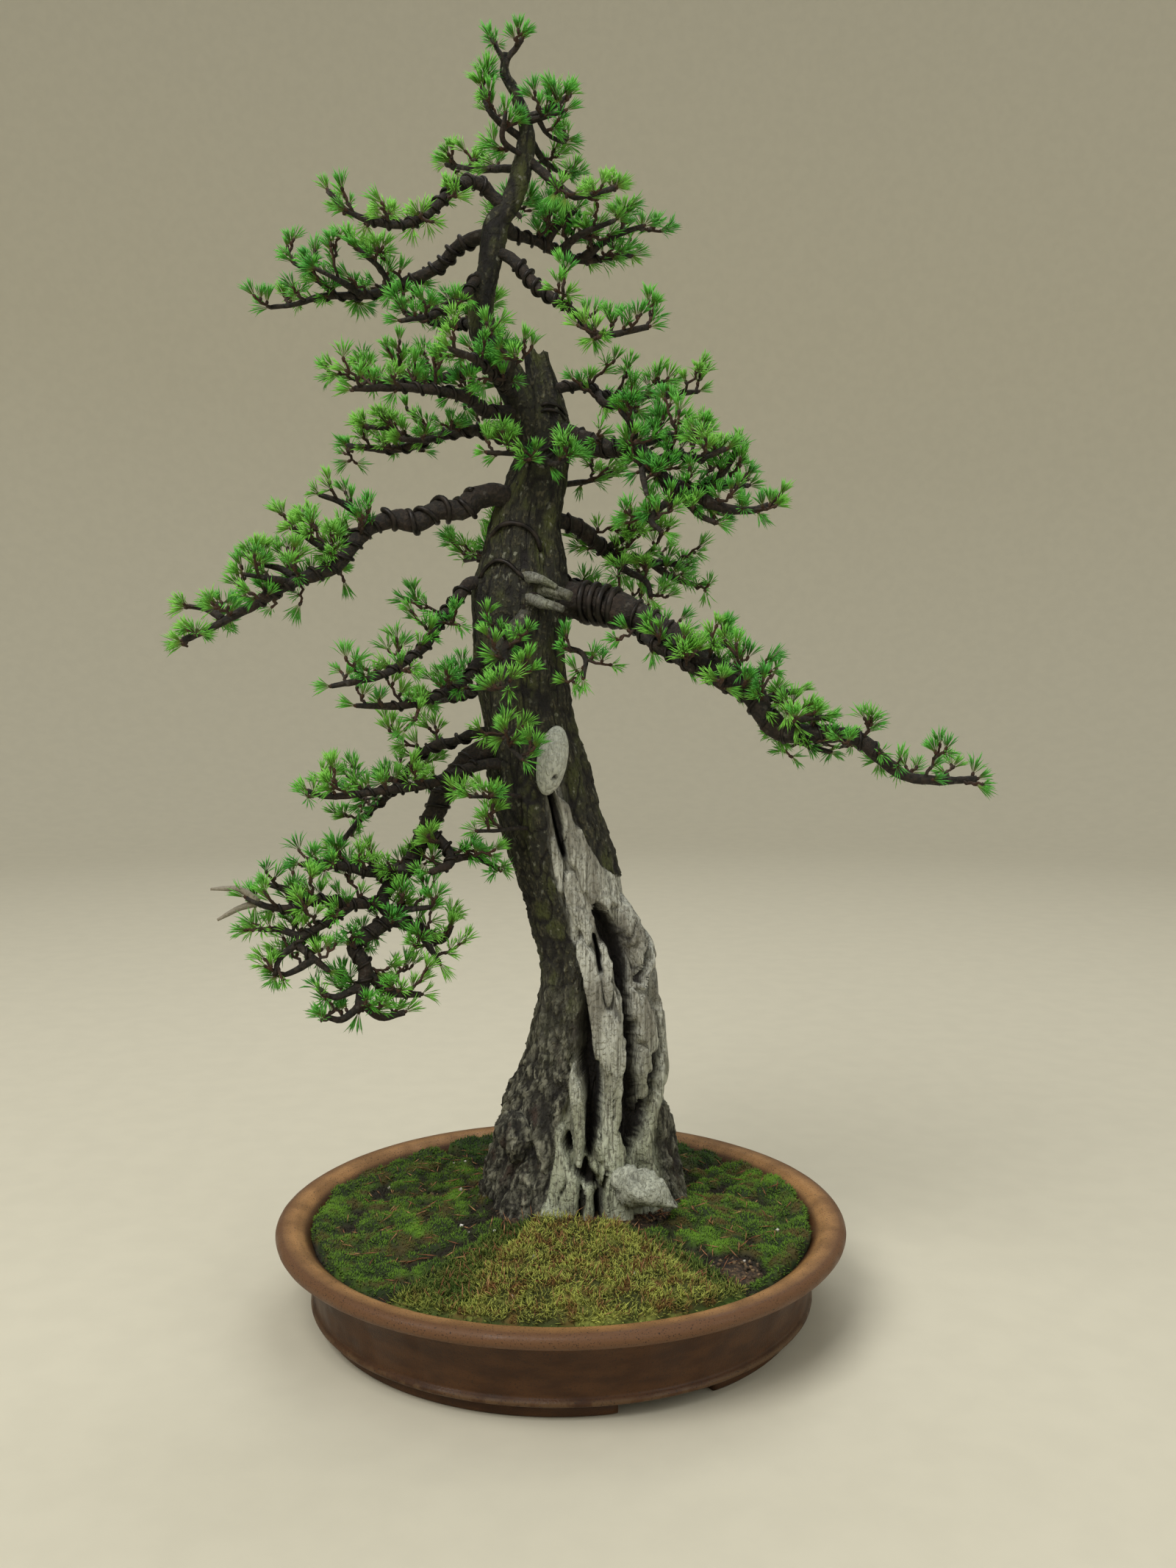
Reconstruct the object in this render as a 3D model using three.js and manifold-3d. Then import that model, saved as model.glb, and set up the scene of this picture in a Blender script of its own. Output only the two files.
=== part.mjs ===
// A tamarack (larch) bonsai in its round, shallow, brown pot. Millimetres, +Z up, the front facing -Y.
// Places are worked out from the pot's axis on the surface that it stands on. At the end the whole tree is
// moved sideways, so that the origin lies under the middle of its box.
import * as THREE from "three";
import { mergeVertices } from "three/addons/utils/BufferGeometryUtils.js";
import Module from "manifold-3d";

const wasm = await Module();
wasm.setup();

// Pot
const clear = 0.3; // left between pieces that touch
const rimRadius = 190;
const rimHeight = 62;
const lipInner = 174;
const wallFoot = 165;
const wallTop = 172;
const insideTop = 164;
const insideFoot = 156;
const floorUnder = 10;
const floorTop = 18;
const footOuter = 160;
const footInner = 150;
const footGap = 62;
const footGapTurns = [-67, 53, 173];
const drainRadius = 10;
const drainReach = 78;
const drainTurns = [-20, 100, 220];
const potSegments = 36;

// Soil, and the screens under it
const soilEdge = 162.5;
const soilEdgeHeight = 52;
const soilSlope = 0.12;
const soilCrown = 20;
const screenSide = 32;
const screenThick = 1.2;
const screenHole = 9;
const screenPitch = 14;
const clipRadius = 0.8;

// Trunk: [height, left edge, right edge, middle in depth, half depth]
const trunkStations = [
  [60, -52, 84, 18, 52],
  [80, -51, 81, 18, 50],
  [100, -47, 76, 17, 46],
  [120, -43, 72, 16, 43],
  [141, -33, 69, 15, 40],
  [156, -26, 71, 14, 38],
  [171, -21, 71, 13, 37],
  [212, -15, 67, 12, 35],
  [232, -14, 64, 11, 34],
  [252, -18, 58, 11, 33],
  [272, -24, 42, 10, 32],
  [293, -32, 37, 10, 31],
  [322, -38, 29, 9, 30],
  [352, -47, 19, 8, 29],
  [392, -50, 7, 6, 27],
  [431, -56, 2, 5, 26],
  [458, -58, 3, 4, 26],
  [480, -60, 6, 3, 26],
  [499, -53, 2, 3, 23],
  [518, -48, -2, 2, 21],
  [537, -40, 1, 2, 19],
  [556, -33, 3, 1, 17],
  [574, -24, 5, 1, 14],
  [593, -21, 2, 1, 11],
  [612, -20, -3, 0, 9],
  [631, -22, -11, 0, 5],
];
const stubHollow = 6;
const frontColumns = 16;
const backColumns = 6;
const rowPitch = 17;
const plug = { x: 16, y: 16, halfWidth: 40, halfDepth: 30, foot: 32 };

// The living leader that goes on above the chopped stub: [x, y, z, radius]
const leader = [
  [-16, 2, 575, 11],
  [-24, 0, 597, 11],
  [-42, -4, 627, 10.5],
  [-51, -6, 647, 9],
  [-50, -7, 664, 7.5],
  [-46, -8, 681, 7.5],
  [-43, -8, 699, 8.5],
  [-40, -8, 711, 7.5],
  [-32, -8, 722, 6.5],
  [-26, -9, 738, 6.2],
  [-22, -10, 756, 5.5],
  [-22, -11, 770, 4.5],
  [-28, -12, 788, 3.6],
  [-35, -13, 800, 3],
  [-34, -14, 812, 2.4],
];

// Roots that spread at the foot: bearing and half spread in degrees, how far they reach, and their top
const roots = [
  { bearing: -128, spread: 20, reach: 14, top: 118 },
  { bearing: -165, spread: 16, reach: 8, top: 110 },
  { bearing: -18, spread: 15, reach: 7, top: 100 },
  { bearing: 60, spread: 24, reach: 12, top: 120 },
  { bearing: 140, spread: 24, reach: 11, top: 125 },
];

// The edge between the bark on the left and the bare wood, as [x, z] seen from the front
const barkEdge = [
  [-19, 57], [-12, 69], [-2, 94], [3, 129], [7, 149], [10, 169], [10, 189], [13, 218],
  [15, 243], [5, 267], [1, 287], [-7, 301], [-9, 325], [-9, 345], [4, 372],
];
const barkStep = 3.5;
const deadwoodTop = 352;

// Ridges and clefts of the bare wood, on the same view: height out of the face, half width, route
const reliefs = [
  { height: 7, width: 9, route: [[-9, 346], [3, 330], [13, 311], [22, 292], [25, 272]] },
  { height: 5, width: 5, route: [[-7, 316], [5, 277], [17, 255]] },
  { height: 7, width: 7, route: [[0, 374], [10, 347], [22, 325], [29, 311], [36, 294]] },
  { height: 9, width: 9, route: [[17, 247], [24, 218], [30, 189], [33, 164], [29, 139], [25, 109]] },
  { height: 5, width: 6, route: [[27, 238], [34, 246]] },
  { height: 7, width: 7, route: [[10, 171], [8, 144], [16, 129], [12, 105]] },
  { height: 7, width: 6, route: [[39, 276], [50, 257], [58, 240], [63, 221], [66, 196]] },
  { height: 7, width: 6, route: [[48, 220], [54, 198], [61, 174], [53, 139]] },
  { height: 7, width: 6, route: [[67, 189], [61, 139], [56, 104], [62, 92]] },
  { height: 8, width: 9, route: [[-2, 96], [8, 80], [-12, 62]] },
  { height: -11, width: 7, route: [[16, 210], [17, 175], [18, 149], [21, 117]] },
  { height: -12, width: 10, route: [[26, 269], [33, 252], [43, 237], [45, 222]] },
  { height: -9, width: 6, route: [[44, 200], [45, 170], [44, 145]] },
  { height: -8, width: 6, route: [[3, 112], [5, 108]] },
];

// Burrs and bleached stumps on the trunk: middle, radii, and lean to the right in degrees
const burrs = [
  { place: [-6, -23, 367], radii: [10, 8, 23], lean: 12 },
  { place: [57, -14, 79], radii: [23, 13, 9], lean: 22 },
  { place: [-4, -21, 472], radii: [6, 7, 8], lean: 20 },
  { place: [-31, -12, 116], radii: [13, 15, 17], lean: 0 },
];

// Branches, from the top down. A route is a list of [x, y, z]; its first point lies at the trunk's side.
// `bare` is the length at the trunk without twigs, and `twig` is the length of a twig.
const branches = [
  {
    name: "branch_top_left", thick: 2, tip: 1.4, bare: 2, twig: 8,
    route: [[-36, -14, 808], [-40, -14, 815], [-43, -14, 820]],
  },
  {
    name: "branch_top_right", thick: 2, tip: 1.4, bare: 2, twig: 8,
    route: [[-33, -14, 809], [-28, -14, 815], [-24, -15, 820]],
  },
  {
    name: "branch_apex_left", thick: 2.6, tip: 1.5, bare: 6, twig: 12,
    route: [[-27, -11, 763], [-38, -18, 768], [-45, -22, 775], [-49, -22, 787]],
  },
  {
    name: "branch_apex_right", thick: 2.6, tip: 1.5, bare: 8, twig: 14,
    route: [[-20, -11, 774], [-8, -6, 781], [6, 2, 793]],
  },
  {
    name: "branch_crown_back_right", thick: 2.8, tip: 1.4, bare: 12, twig: 14,
    route: [[-19, -8, 762], [-10, 10, 760], [5, 32, 765]],
  },
  {
    name: "branch_crown_back_left", thick: 3, tip: 1.5, bare: 12, twig: 15,
    route: [[-30, -6, 744], [-55, 15, 751], [-76, 36, 761]],
  },
  {
    name: "branch_crown_right", thick: 3.4, tip: 1.6, bare: 22, twig: 15,
    route: [[-20, -10, 751], [-11, -13, 746], [4, -20, 730], [17, -24, 725], [40, -28, 732]],
  },
  {
    name: "branch_crown_left", thick: 4.6, tip: 1.6, bare: 24, twig: 15,
    route: [[-42, -10, 724], [-51, -14, 732], [-62, -20, 730], [-74, -28, 717], [-85, -36, 704],
      [-98, -44, 697], [-117, -50, 698], [-131, -52, 704], [-141, -50, 715]],
  },
  {
    name: "branch_crown_back", thick: 3, tip: 1.5, bare: 14, twig: 15,
    route: [[-33, 0, 727], [-32, 30, 731], [-28, 62, 736]],
  },
  {
    name: "branch_upper_right_back", thick: 4.6, tip: 1.8, bare: 22, twig: 19,
    route: [[-36, -4, 709], [-30, 5, 706], [-16, 13, 705], [-1, 20, 700], [13, 26, 697], [47, 31, 701]],
  },
  {
    name: "branch_upper_right_front", thick: 4.4, tip: 1.8, bare: 60, twig: 17,
    wire: { from: 14, to: 58, pitch: 9, radius: 1.4 },
    route: [[-38, -10, 690], [-25, -18, 679], [-15, -26, 665], [-1, -34, 654], [10, -40, 645],
      [24, -46, 631], [54, -50, 635]],
  },
  {
    name: "branch_upper_left", thick: 5, tip: 1.6, bare: 52, twig: 17,
    wire: { from: 14, to: 50, pitch: 9, radius: 1.4 },
    route: [[-46, -5, 703], [-66, 5, 699], [-80, 13, 688], [-108, 22, 678], [-128, 28, 674],
      [-158, 32, 674], [-178, 34, 669], [-194, 34, 667]],
  },
  {
    name: "branch_upper_left_front", thick: 3.6, tip: 1.6, bare: 16, twig: 15,
    route: [[-52, -10, 676], [-63, -30, 659], [-78, -46, 650], [-99, -58, 646]],
  },
  {
    name: "branch_upper_back", thick: 3.6, tip: 1.6, bare: 18, twig: 17,
    route: [[-48, 0, 668], [-57, 40, 663], [-66, 80, 668]],
  },
  {
    name: "branch_upper_left_back", thick: 3.6, tip: 1.6, bare: 20, twig: 16,
    route: [[-56, 2, 648], [-80, 26, 656], [-106, 46, 667]],
  },
  {
    name: "branch_shoulder_left", thick: 4, tip: 1.7, bare: 16, twig: 17,
    route: [[-47, 3, 624], [-80, 20, 628], [-118, 36, 634], [-144, 43, 638]],
  },
  {
    name: "branch_shoulder_front", thick: 3.8, tip: 1.7, bare: 10, twig: 17,
    route: [[-30, -10, 602], [-36, -36, 606], [-44, -58, 614], [-60, -76, 619]],
  },
  {
    name: "branch_shoulder_right", thick: 3.8, tip: 1.6, bare: 16, twig: 18,
    route: [[-4, 0, 616], [18, 13, 609], [42, 21, 607], [88, 26, 612]],
  },
  {
    name: "branch_middle_back", thick: 4.2, tip: 1.7, bare: 24, twig: 18,
    route: [[-12, 14, 588], [-22, 52, 592], [-38, 92, 598]],
  },
  {
    name: "branch_middle_left_high", thick: 5.4, tip: 1.8, bare: 18, twig: 17,
    route: [[-30, -4, 592], [-48, -12, 590], [-60, -22, 598], [-92, -38, 600], [-127, -46, 598]],
  },
  {
    name: "branch_middle_left_low", thick: 5.4, tip: 1.8, bare: 18, twig: 17,
    route: [[-32, 2, 576], [-58, 12, 583], [-80, 22, 581], [-110, 34, 574], [-144, 38, 577]],
  },
  {
    name: "branch_middle_right", thick: 7.5, tip: 2, bare: 24, twig: 20,
    route: [[1, -4, 579], [27, -16, 566], [64, -30, 553], [86, -38, 545], [100, -42, 539], [128, -46, 535]],
  },
  {
    name: "branch_twig_right", thick: 2.4, tip: 1.4, bare: 8, twig: 13,
    route: [[3, 6, 547], [18, 20, 551], [34, 31, 556]],
  },
  {
    name: "branch_left_long", thick: 8, tip: 2, bare: 88, twig: 19,
    wire: { from: 18, to: 82, pitch: 11, radius: 1.8 },
    route: [[-38, -8, 538], [-57, -15, 533], [-68, -20, 527], [-85, -28, 523], [-110, -37, 517],
      [-122, -42, 514], [-130, -48, 501], [-139, -52, 489], [-163, -60, 479], [-187, -64, 466],
      [-212, -66, 454], [-230, -66, 452]],
    forks: [
      {
        thick: 3, tip: 1.5, bare: 8, twig: 13,
        route: [[-119, -41, 515], [-133, -46, 527], [-149, -50, 533]],
      },
    ],
  },
  {
    name: "branch_right_high", thick: 6.5, tip: 1.8, bare: 22, twig: 19,
    route: [[-2, 6, 527], [13, 16, 521], [33, 28, 511], [54, 40, 503], [86, 50, 493]],
  },
  {
    name: "branch_low_back", thick: 5, tip: 1.8, bare: 26, twig: 19,
    route: [[-24, 22, 515], [-46, 66, 508], [-70, 108, 506]],
  },
  {
    name: "branch_right_back", thick: 5, tip: 1.8, bare: 26, twig: 18,
    route: [[-8, 22, 488], [28, 58, 478], [64, 88, 470]],
  },
  {
    name: "branch_right_long", thick: 13, tip: 2.2, bare: 84, twig: 19,
    wire: { from: 14, to: 42, pitch: 7, radius: 2.2 },
    route: [[0, 0, 470], [18, -8, 469], [41, -20, 463], [64, -32, 449], [86, -44, 431], [100, -50, 422],
      [117, -56, 411], [126, -60, 398], [138, -62, 387], [166, -66, 385], [184, -68, 382],
      [202, -70, 366], [216, -70, 359], [234, -70, 357], [256, -70, 358]],
    forks: [
      {
        thick: 4.5, tip: 1.8, bare: 6, twig: 15,
        route: [[44, -22, 461], [56, -38, 443], [78, -54, 428], [100, -62, 414]],
      },
    ],
  },
  {
    name: "branch_left_front_high", thick: 5, tip: 1.8, bare: 24, twig: 19,
    route: [[-56, -10, 482], [-70, -22, 468], [-77, -34, 455], [-85, -46, 440], [-99, -58, 428],
      [-112, -66, 421], [-139, -75, 415]],
  },
  {
    name: "branch_front", thick: 3.4, tip: 1.6, bare: 14, twig: 14,
    route: [[-30, -20, 449], [-35, -50, 436], [-32, -76, 414]],
  },
  {
    name: "branch_twig_right_low", thick: 2.4, tip: 1.4, bare: 8, twig: 12,
    route: [[1, -6, 440], [15, -22, 434], [14, -36, 420]],
  },
  {
    name: "branch_left_front_low", thick: 4.4, tip: 1.7, bare: 20, twig: 18,
    route: [[-52, -10, 431], [-62, -28, 418], [-92, -50, 404], [-126, -62, 403]],
  },
  {
    name: "branch_lower_back", thick: 5, tip: 1.8, bare: 28, twig: 19,
    route: [[-36, 26, 424], [-64, 68, 410], [-95, 106, 402]],
  },
  {
    name: "branch_front_low", thick: 2.8, tip: 1.5, bare: 8, twig: 13,
    route: [[-30, -20, 386], [-34, -48, 380], [-24, -66, 370]],
  },
  {
    name: "branch_low_left_back", thick: 4.6, tip: 1.7, bare: 30, twig: 17,
    route: [[-52, 10, 384], [-71, 19, 378], [-90, 28, 372], [-102, 34, 361], [-119, 42, 340],
      [-140, 48, 322], [-157, 52, 301]],
  },
  {
    name: "branch_low_left_front", thick: 4.4, tip: 1.7, bare: 28, twig: 17,
    route: [[-50, -14, 364], [-87, -30, 352], [-123, -44, 348], [-150, -52, 348], [-166, -56, 354]],
  },
  {
    name: "branch_lowest_left", thick: 9.5, tip: 4, bare: 70, twig: 16,
    route: [[-50, 0, 372], [-74, -8, 349], [-84, -12, 330], [-92, -14, 314], [-102, -16, 294],
      [-112, -18, 278]],
    forks: [
      {
        thick: 4, tip: 2, bare: 14, twig: 15,
        route: [[-110, -18, 280], [-97, -26, 266], [-76, -34, 253]],
      },
      {
        thick: 5, tip: 3.2, bare: 14, twig: 17,
        route: [[-110, -18, 281], [-114, -29, 259], [-124, -37, 248], [-124, -41, 232], [-129, -43, 216]],
      },
      {
        thick: 4.5, tip: 1.8, bare: 12, twig: 18,
        route: [[-100, -16, 297], [-122, -24, 297], [-143, -32, 294], [-170, -40, 291], [-190, -44, 298]],
      },
      {
        thick: 2.6, tip: 0.9, bare: 99, twig: 0,
        route: [[-168, -40, 291], [-192, -46, 293], [-218, -48, 289]],
      },
      {
        thick: 2.4, tip: 0.9, bare: 99, twig: 0,
        route: [[-166, -38, 291], [-192, -38, 280], [-216, -38, 268]],
      },
      {
        thick: 3.6, tip: 2.6, bare: 14, twig: 12,
        route: [[-84, -12, 328], [-72, -6, 306], [-69, -3, 290]],
      },
    ],
  },
  {
    name: "branch_twig_front_high", thick: 1.8, tip: 1.2, bare: 12, twig: 10,
    route: [[-28, -20, 344], [-42, -38, 345], [-57, -52, 346]],
  },
  {
    name: "branch_twig_front_low", thick: 1.8, tip: 1.2, bare: 12, twig: 10,
    route: [[-26, -20, 323], [-40, -36, 323], [-53, -48, 324]],
  },
];

// Foliage
const boughSides = 6;
const twiggySides = 4;
const boughRadius = 6; // a branch thicker than this has the sides of a bough
const ringPitch = 15;
const tries = 16; // a shoot that touches another is tried again, each time turned and a little further out
const twigSpacing = 15;
const twigRadius = 1.3;
const twigShort = 0.65; // least share of a twig's length
const twigLong = 1.3;
const budRadius = 1.7;
const budLength = 3;
const spurLength = 7;
const endShootLength = 4;
const longTwig = 14; // a twig longer than this can carry a spur
const spurShare = 0.2;
const needleLength = 15;
const needleSpread = { top: 24, middle: 52, side: 78 }; // degrees from the bud's axis
const needleSwing = 36; // degrees that a needle may swing round the bud, from side to side
const leafGap = 0.35; // least distance between two branches
const shootGap = 0.06; // least distance between two shoots of one branch

// Moss: its bearings and reach on the soil, thickness at the middle, and height of its lumps
const mossThin = 0.8;
const mossRows = 4;
const mossPatches = [
  { name: "moss_mound", turns: [-126, -48], reach: [46, 157], thick: 15, lumps: 1.5, color: "#7f8436" },
  { name: "moss_right", turns: [-45, 38], reach: [78, 157], thick: 8, lumps: 2.2, color: "#3f6423" },
  { name: "moss_back", turns: [42, 122], reach: [58, 156], thick: 7, lumps: 2.2, color: "#35521f" },
  { name: "moss_left", turns: [126, 228], reach: [50, 157], thick: 9, lumps: 2.6, color: "#3f6423" },
];
const mossColumnTurn = 8; // degrees between two columns of a patch

// Finishes
const finish = (color, roughness) => new THREE.MeshStandardMaterial({ color, roughness, metalness: 0 });
const finishes = {
  pot: finish("#6b4a2e", 0.5),
  soil: finish("#33271c", 1),
  bark: finish("#4a4238", 0.9),
  leaf: finish("#4f9a3a", 0.6),
  wire: new THREE.MeshStandardMaterial({ color: "#3a2c22", roughness: 0.55, metalness: 0.8 }),
  screen: finish("#1c1d1c", 0.6),
};

const up = new THREE.Vector3(0, 0, 1);
const bonsai = new THREE.Group();
const radians = THREE.MathUtils.degToRad;
const clamp = THREE.MathUtils.clamp;
const vector = ([x, y, z]) => new THREE.Vector3(x, y, z);

// A number from 0 to 1 that depends only on its keys, so that each twig grows alike every time.
function draw(...keys) {
  const mixed = keys.reduce((sum, key, i) => sum + (key + 1) * (12.9898 + 65.345 * i), 0.5);
  const wave = Math.sin(mixed) * 43758.5453;
  return wave - Math.floor(wave);
}

// The value at `at` of a table of rows that start with an ascending key.
function between(rows, at) {
  const last = rows.length - 1;
  if (at <= rows[0][0]) return rows[0].slice(1);
  if (at >= rows[last][0]) return rows[last].slice(1);
  const i = rows.findIndex((row) => row[0] > at);
  const share = (at - rows[i - 1][0]) / (rows[i][0] - rows[i - 1][0]);
  return rows[i].slice(1).map((value, k) => THREE.MathUtils.lerp(rows[i - 1][k + 1], value, share));
}

// Closed geometry to solid, and back
function solidFrom(geometry) {
  const bare = new THREE.BufferGeometry().setAttribute("position", geometry.getAttribute("position"));
  bare.setIndex(geometry.index);
  const merged = mergeVertices(bare, 1e-4);
  return new wasm.Manifold(
    new wasm.Mesh({
      numProp: 3,
      vertProperties: merged.attributes.position.array,
      triVerts: new Uint32Array(merged.index.array),
    }),
  );
}

function geometryFrom(solid) {
  const { vertProperties, triVerts, numProp } = solid.getMesh();
  const places = new Float32Array((vertProperties.length / numProp) * 3);
  for (let i = 0; i < places.length / 3; i++) {
    places.set(vertProperties.subarray(i * numProp, i * numProp + 3), i * 3);
  }
  const geometry = new THREE.BufferGeometry().setAttribute("position", new THREE.BufferAttribute(places, 3));
  geometry.setIndex(new THREE.BufferAttribute(triVerts, 1));
  geometry.computeVertexNormals();
  return geometry;
}

const solidOfTriangles = (triangles) => solidFrom(new THREE.BufferGeometry().setFromPoints(triangles.flat()));

// The largest body of a solid: cutting can leave loose scraps, which are dropped.
function mainBody(solid) {
  const bodies = solid.decompose();
  return bodies.reduce((best, body) => (body.volume() > best.volume() ? body : best));
}

function add(name, solid, material) {
  const mesh = new THREE.Mesh(geometryFrom(solid), material.clone());
  mesh.name = name;
  bonsai.add(mesh);
}

// Rings of points round a path, each square to it and turned as little as possible from the one before
function ringsAlong(path, radii, sides, firstSide) {
  const side = firstSide?.clone() ?? new THREE.Vector3();
  return path.map((point, i) => {
    const ahead = path[Math.min(i + 1, path.length - 1)];
    const along = ahead.clone().sub(path[Math.max(i - 1, 0)]).normalize();
    if (i === 0 && !firstSide) {
      side.crossVectors(along, Math.abs(along.z) < 0.9 ? up : new THREE.Vector3(1, 0, 0)).normalize();
    } else {
      side.addScaledVector(along, -side.dot(along)).normalize();
    }
    const across = new THREE.Vector3().crossVectors(along, side);
    return Array.from({ length: sides }, (_, k) => {
      const turn = (2 * Math.PI * k) / sides;
      const out = side.clone().multiplyScalar(Math.cos(turn)).addScaledVector(across, Math.sin(turn));
      return point.clone().addScaledVector(out, radii[i]);
    });
  });
}

// The faces between two rings of equal length
function band(low, high) {
  return low.flatMap((point, k) => {
    const next = (k + 1) % low.length;
    return [[point, low[next], high[next]], [point, high[next], high[k]]];
  });
}

// The fan that closes a ring over the point `middle`
function fan(ring, middle, turned) {
  return ring.map((point, k) => {
    const next = ring[(k + 1) % ring.length];
    return turned ? [next, point, middle] : [point, next, middle];
  });
}

function middleOf(ring) {
  const sum = ring.reduce((total, point) => total.add(point), new THREE.Vector3());
  return sum.divideScalar(ring.length);
}

// A closed skin through rings, with `dip` sinking the last fan's middle
function skin(rings, dip = 0) {
  const last = rings[rings.length - 1];
  const bands = rings.slice(1).flatMap((ring, i) => band(rings[i], ring));
  const top = middleOf(last).addScaledVector(up, -dip);
  return solidOfTriangles([...fan(rings[0], middleOf(rings[0]), true), ...bands, ...fan(last, top)]);
}

const tube = (path, radii, sides) => skin(ringsAlong(path, radii, sides));

// Pot
function makePot() {
  const lipUnder = rimHeight - 9;
  const profile = [
    [0, floorUnder], [footInner, floorUnder], [footInner, 0], [footOuter, 0], [footOuter, floorUnder - 2],
    [wallFoot, floorUnder - 0.5], [wallFoot + 2.6, floorUnder + 2], [wallFoot, floorUnder + 4.5],
    [wallTop, lipUnder - 2], [rimRadius - 5, lipUnder], [rimRadius, lipUnder + 4.5],
    [rimRadius - 3, rimHeight], [lipInner + 1, rimHeight], [insideTop, rimHeight - 7],
    [insideFoot + 2, floorTop + 4], [insideFoot - 2, floorTop], [0, floorTop],
  ].map(([r, z]) => new THREE.Vector2(r, z));
  const shell = solidFrom(new THREE.LatheGeometry(profile, potSegments).rotateX(Math.PI / 2));
  const notches = footGapTurns.map((turn) => {
    const box = new THREE.BoxGeometry(footOuter - footInner + 30, footGap, floorUnder - 1);
    box.translate((footOuter + footInner) / 2, 0, (floorUnder - 1) / 2 - 0.5);
    return solidFrom(box.rotateZ(radians(turn)));
  });
  const drains = drainTurns.map((turn) => {
    const bore = new THREE.CylinderGeometry(drainRadius, drainRadius, floorTop, 12).rotateX(Math.PI / 2);
    return solidFrom(bore.translate(drainReach, 0, floorTop - 2).rotateZ(radians(turn)));
  });
  return shell.subtract(wasm.Manifold.union([...notches, ...drains]));
}

// Soil, a low cone that fills the pot, with a hole for the trunk and a pocket for each screen
const soilHeight = (x, y) => soilEdgeHeight + soilSlope * (soilEdge - Math.max(Math.hypot(x, y), soilCrown));

function makeSoil(trunkPlug) {
  const foot = floorTop + clear;
  const profile = [
    [0, foot], [insideFoot - 3, foot], [insideFoot + 1, floorTop + 4.5], [soilEdge, soilEdgeHeight],
    [soilCrown, soilHeight(0, 0)], [0, soilHeight(0, 0)],
  ].map(([r, z]) => new THREE.Vector2(r, z));
  const body = solidFrom(new THREE.LatheGeometry(profile, potSegments).rotateX(Math.PI / 2));
  const pockets = drainTurns.map((turn) => {
    const side = screenSide + 2 * clear;
    const box = new THREE.BoxGeometry(side, side, 10).translate(drainReach, 0, floorTop);
    return solidFrom(box.rotateZ(radians(turn)));
  });
  return body.subtract(wasm.Manifold.union([trunkPlug, ...pockets]));
}

// Screens over the drain holes, each held by a clip of wire through the hole
function makeScreen(turn) {
  const sheet = new THREE.BoxGeometry(screenSide, screenSide, screenThick);
  const openings = [-0.5, 0.5].flatMap((row) =>
    [-0.5, 0.5].map((column) => {
      const opening = new THREE.BoxGeometry(screenHole, screenHole, 3 * screenThick);
      return solidFrom(opening.translate(row * screenPitch, column * screenPitch, 0));
    }),
  );
  return solidFrom(sheet)
    .subtract(wasm.Manifold.union(openings))
    .translate([drainReach, 0, floorTop + clear + screenThick / 2])
    .rotate([0, 0, turn]);
}

function makeClip(turn) {
  const leg = drainRadius - 5.4;
  const under = floorUnder - clear - clipRadius;
  const over = floorTop + clear + screenThick + clear + clipRadius;
  const bend = 1.5;
  const half = [
    [leg + 8, 0, under], [leg + 1, 0, under], [leg, 0, under + bend],
    [leg, 0, over - bend], [leg - bend, 0, over],
  ];
  const back = half.map(([x, y, z]) => [-x, y, z]).reverse();
  const path = [...half, ...back].map(vector);
  const clip = tube(path, path.map(() => clipRadius), 4);
  return clip.translate([drainReach, -screenPitch / 2, 0]).rotate([0, 0, turn]);
}

// Trunk: how far the face stands out at a place, from its distance to each ridge and cleft
function distanceTo(route, x, z) {
  return Math.min(
    ...route.slice(1).map(([bx, bz], i) => {
      const [ax, az] = route[i];
      const length = (bx - ax) ** 2 + (bz - az) ** 2;
      const share = clamp(((x - ax) * (bx - ax) + (z - az) * (bz - az)) / length, 0, 1);
      return Math.hypot(x - ax - share * (bx - ax), z - az - share * (bz - az));
    }),
  );
}

const barkEdgeByHeight = barkEdge.map(([x, z]) => [z, x]);

function relief(x, z, turn) {
  const facing = clamp(-1.8 * Math.sin(turn), 0, 1);
  const edge = between(barkEdgeByHeight, z)[0];
  const bark = z > deadwoodTop ? 1 : clamp((edge - x) / 4 + 0.5, 0, 1);
  const ridges = reliefs.reduce((sum, { height, width, route }) => {
    const near = clamp(1 - distanceTo(route, x, z) / width, 0, 1);
    return sum + height * near * near * (3 - 2 * near);
  }, 0);
  const flutes = 1.6 * Math.sin(6 * turn + z / 45) + 0.9 * Math.sin(11 * turn - z / 23);
  return facing * (ridges + barkStep * (bark - 1)) + (1 - 0.5 * facing) * flutes;
}

function rootSwell(turn, z) {
  return roots.reduce((sum, { bearing, spread, reach, top }) => {
    const off = THREE.MathUtils.euclideanModulo(THREE.MathUtils.radToDeg(turn) - bearing + 180, 360) - 180;
    const low = clamp((top - z) / (top - soilEdgeHeight), 0, 1);
    return sum + reach * Math.exp(-((off / spread) ** 2)) * low * low;
  }, 0);
}

function trunkPoint(turn, z, fat) {
  const [left, right, middle, depth] = between(trunkStations, z);
  const x = (left + right) / 2 + ((right - left) / 2) * Math.cos(turn);
  const y = middle + depth * Math.sin(turn);
  const slim = clamp((right - left) / 60, 0.2, 1);
  const out = slim * relief(x, z, turn) + rootSwell(turn, z) + fat;
  return new THREE.Vector3(x + out * Math.cos(turn), y + out * Math.sin(turn), z);
}

function plugRing(z, fat) {
  return columns.map((turn) => {
    const x = plug.x + (plug.halfWidth + fat) * Math.cos(turn);
    const y = plug.y + (plug.halfDepth + fat) * Math.sin(turn);
    return new THREE.Vector3(x, y, z);
  });
}

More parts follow.
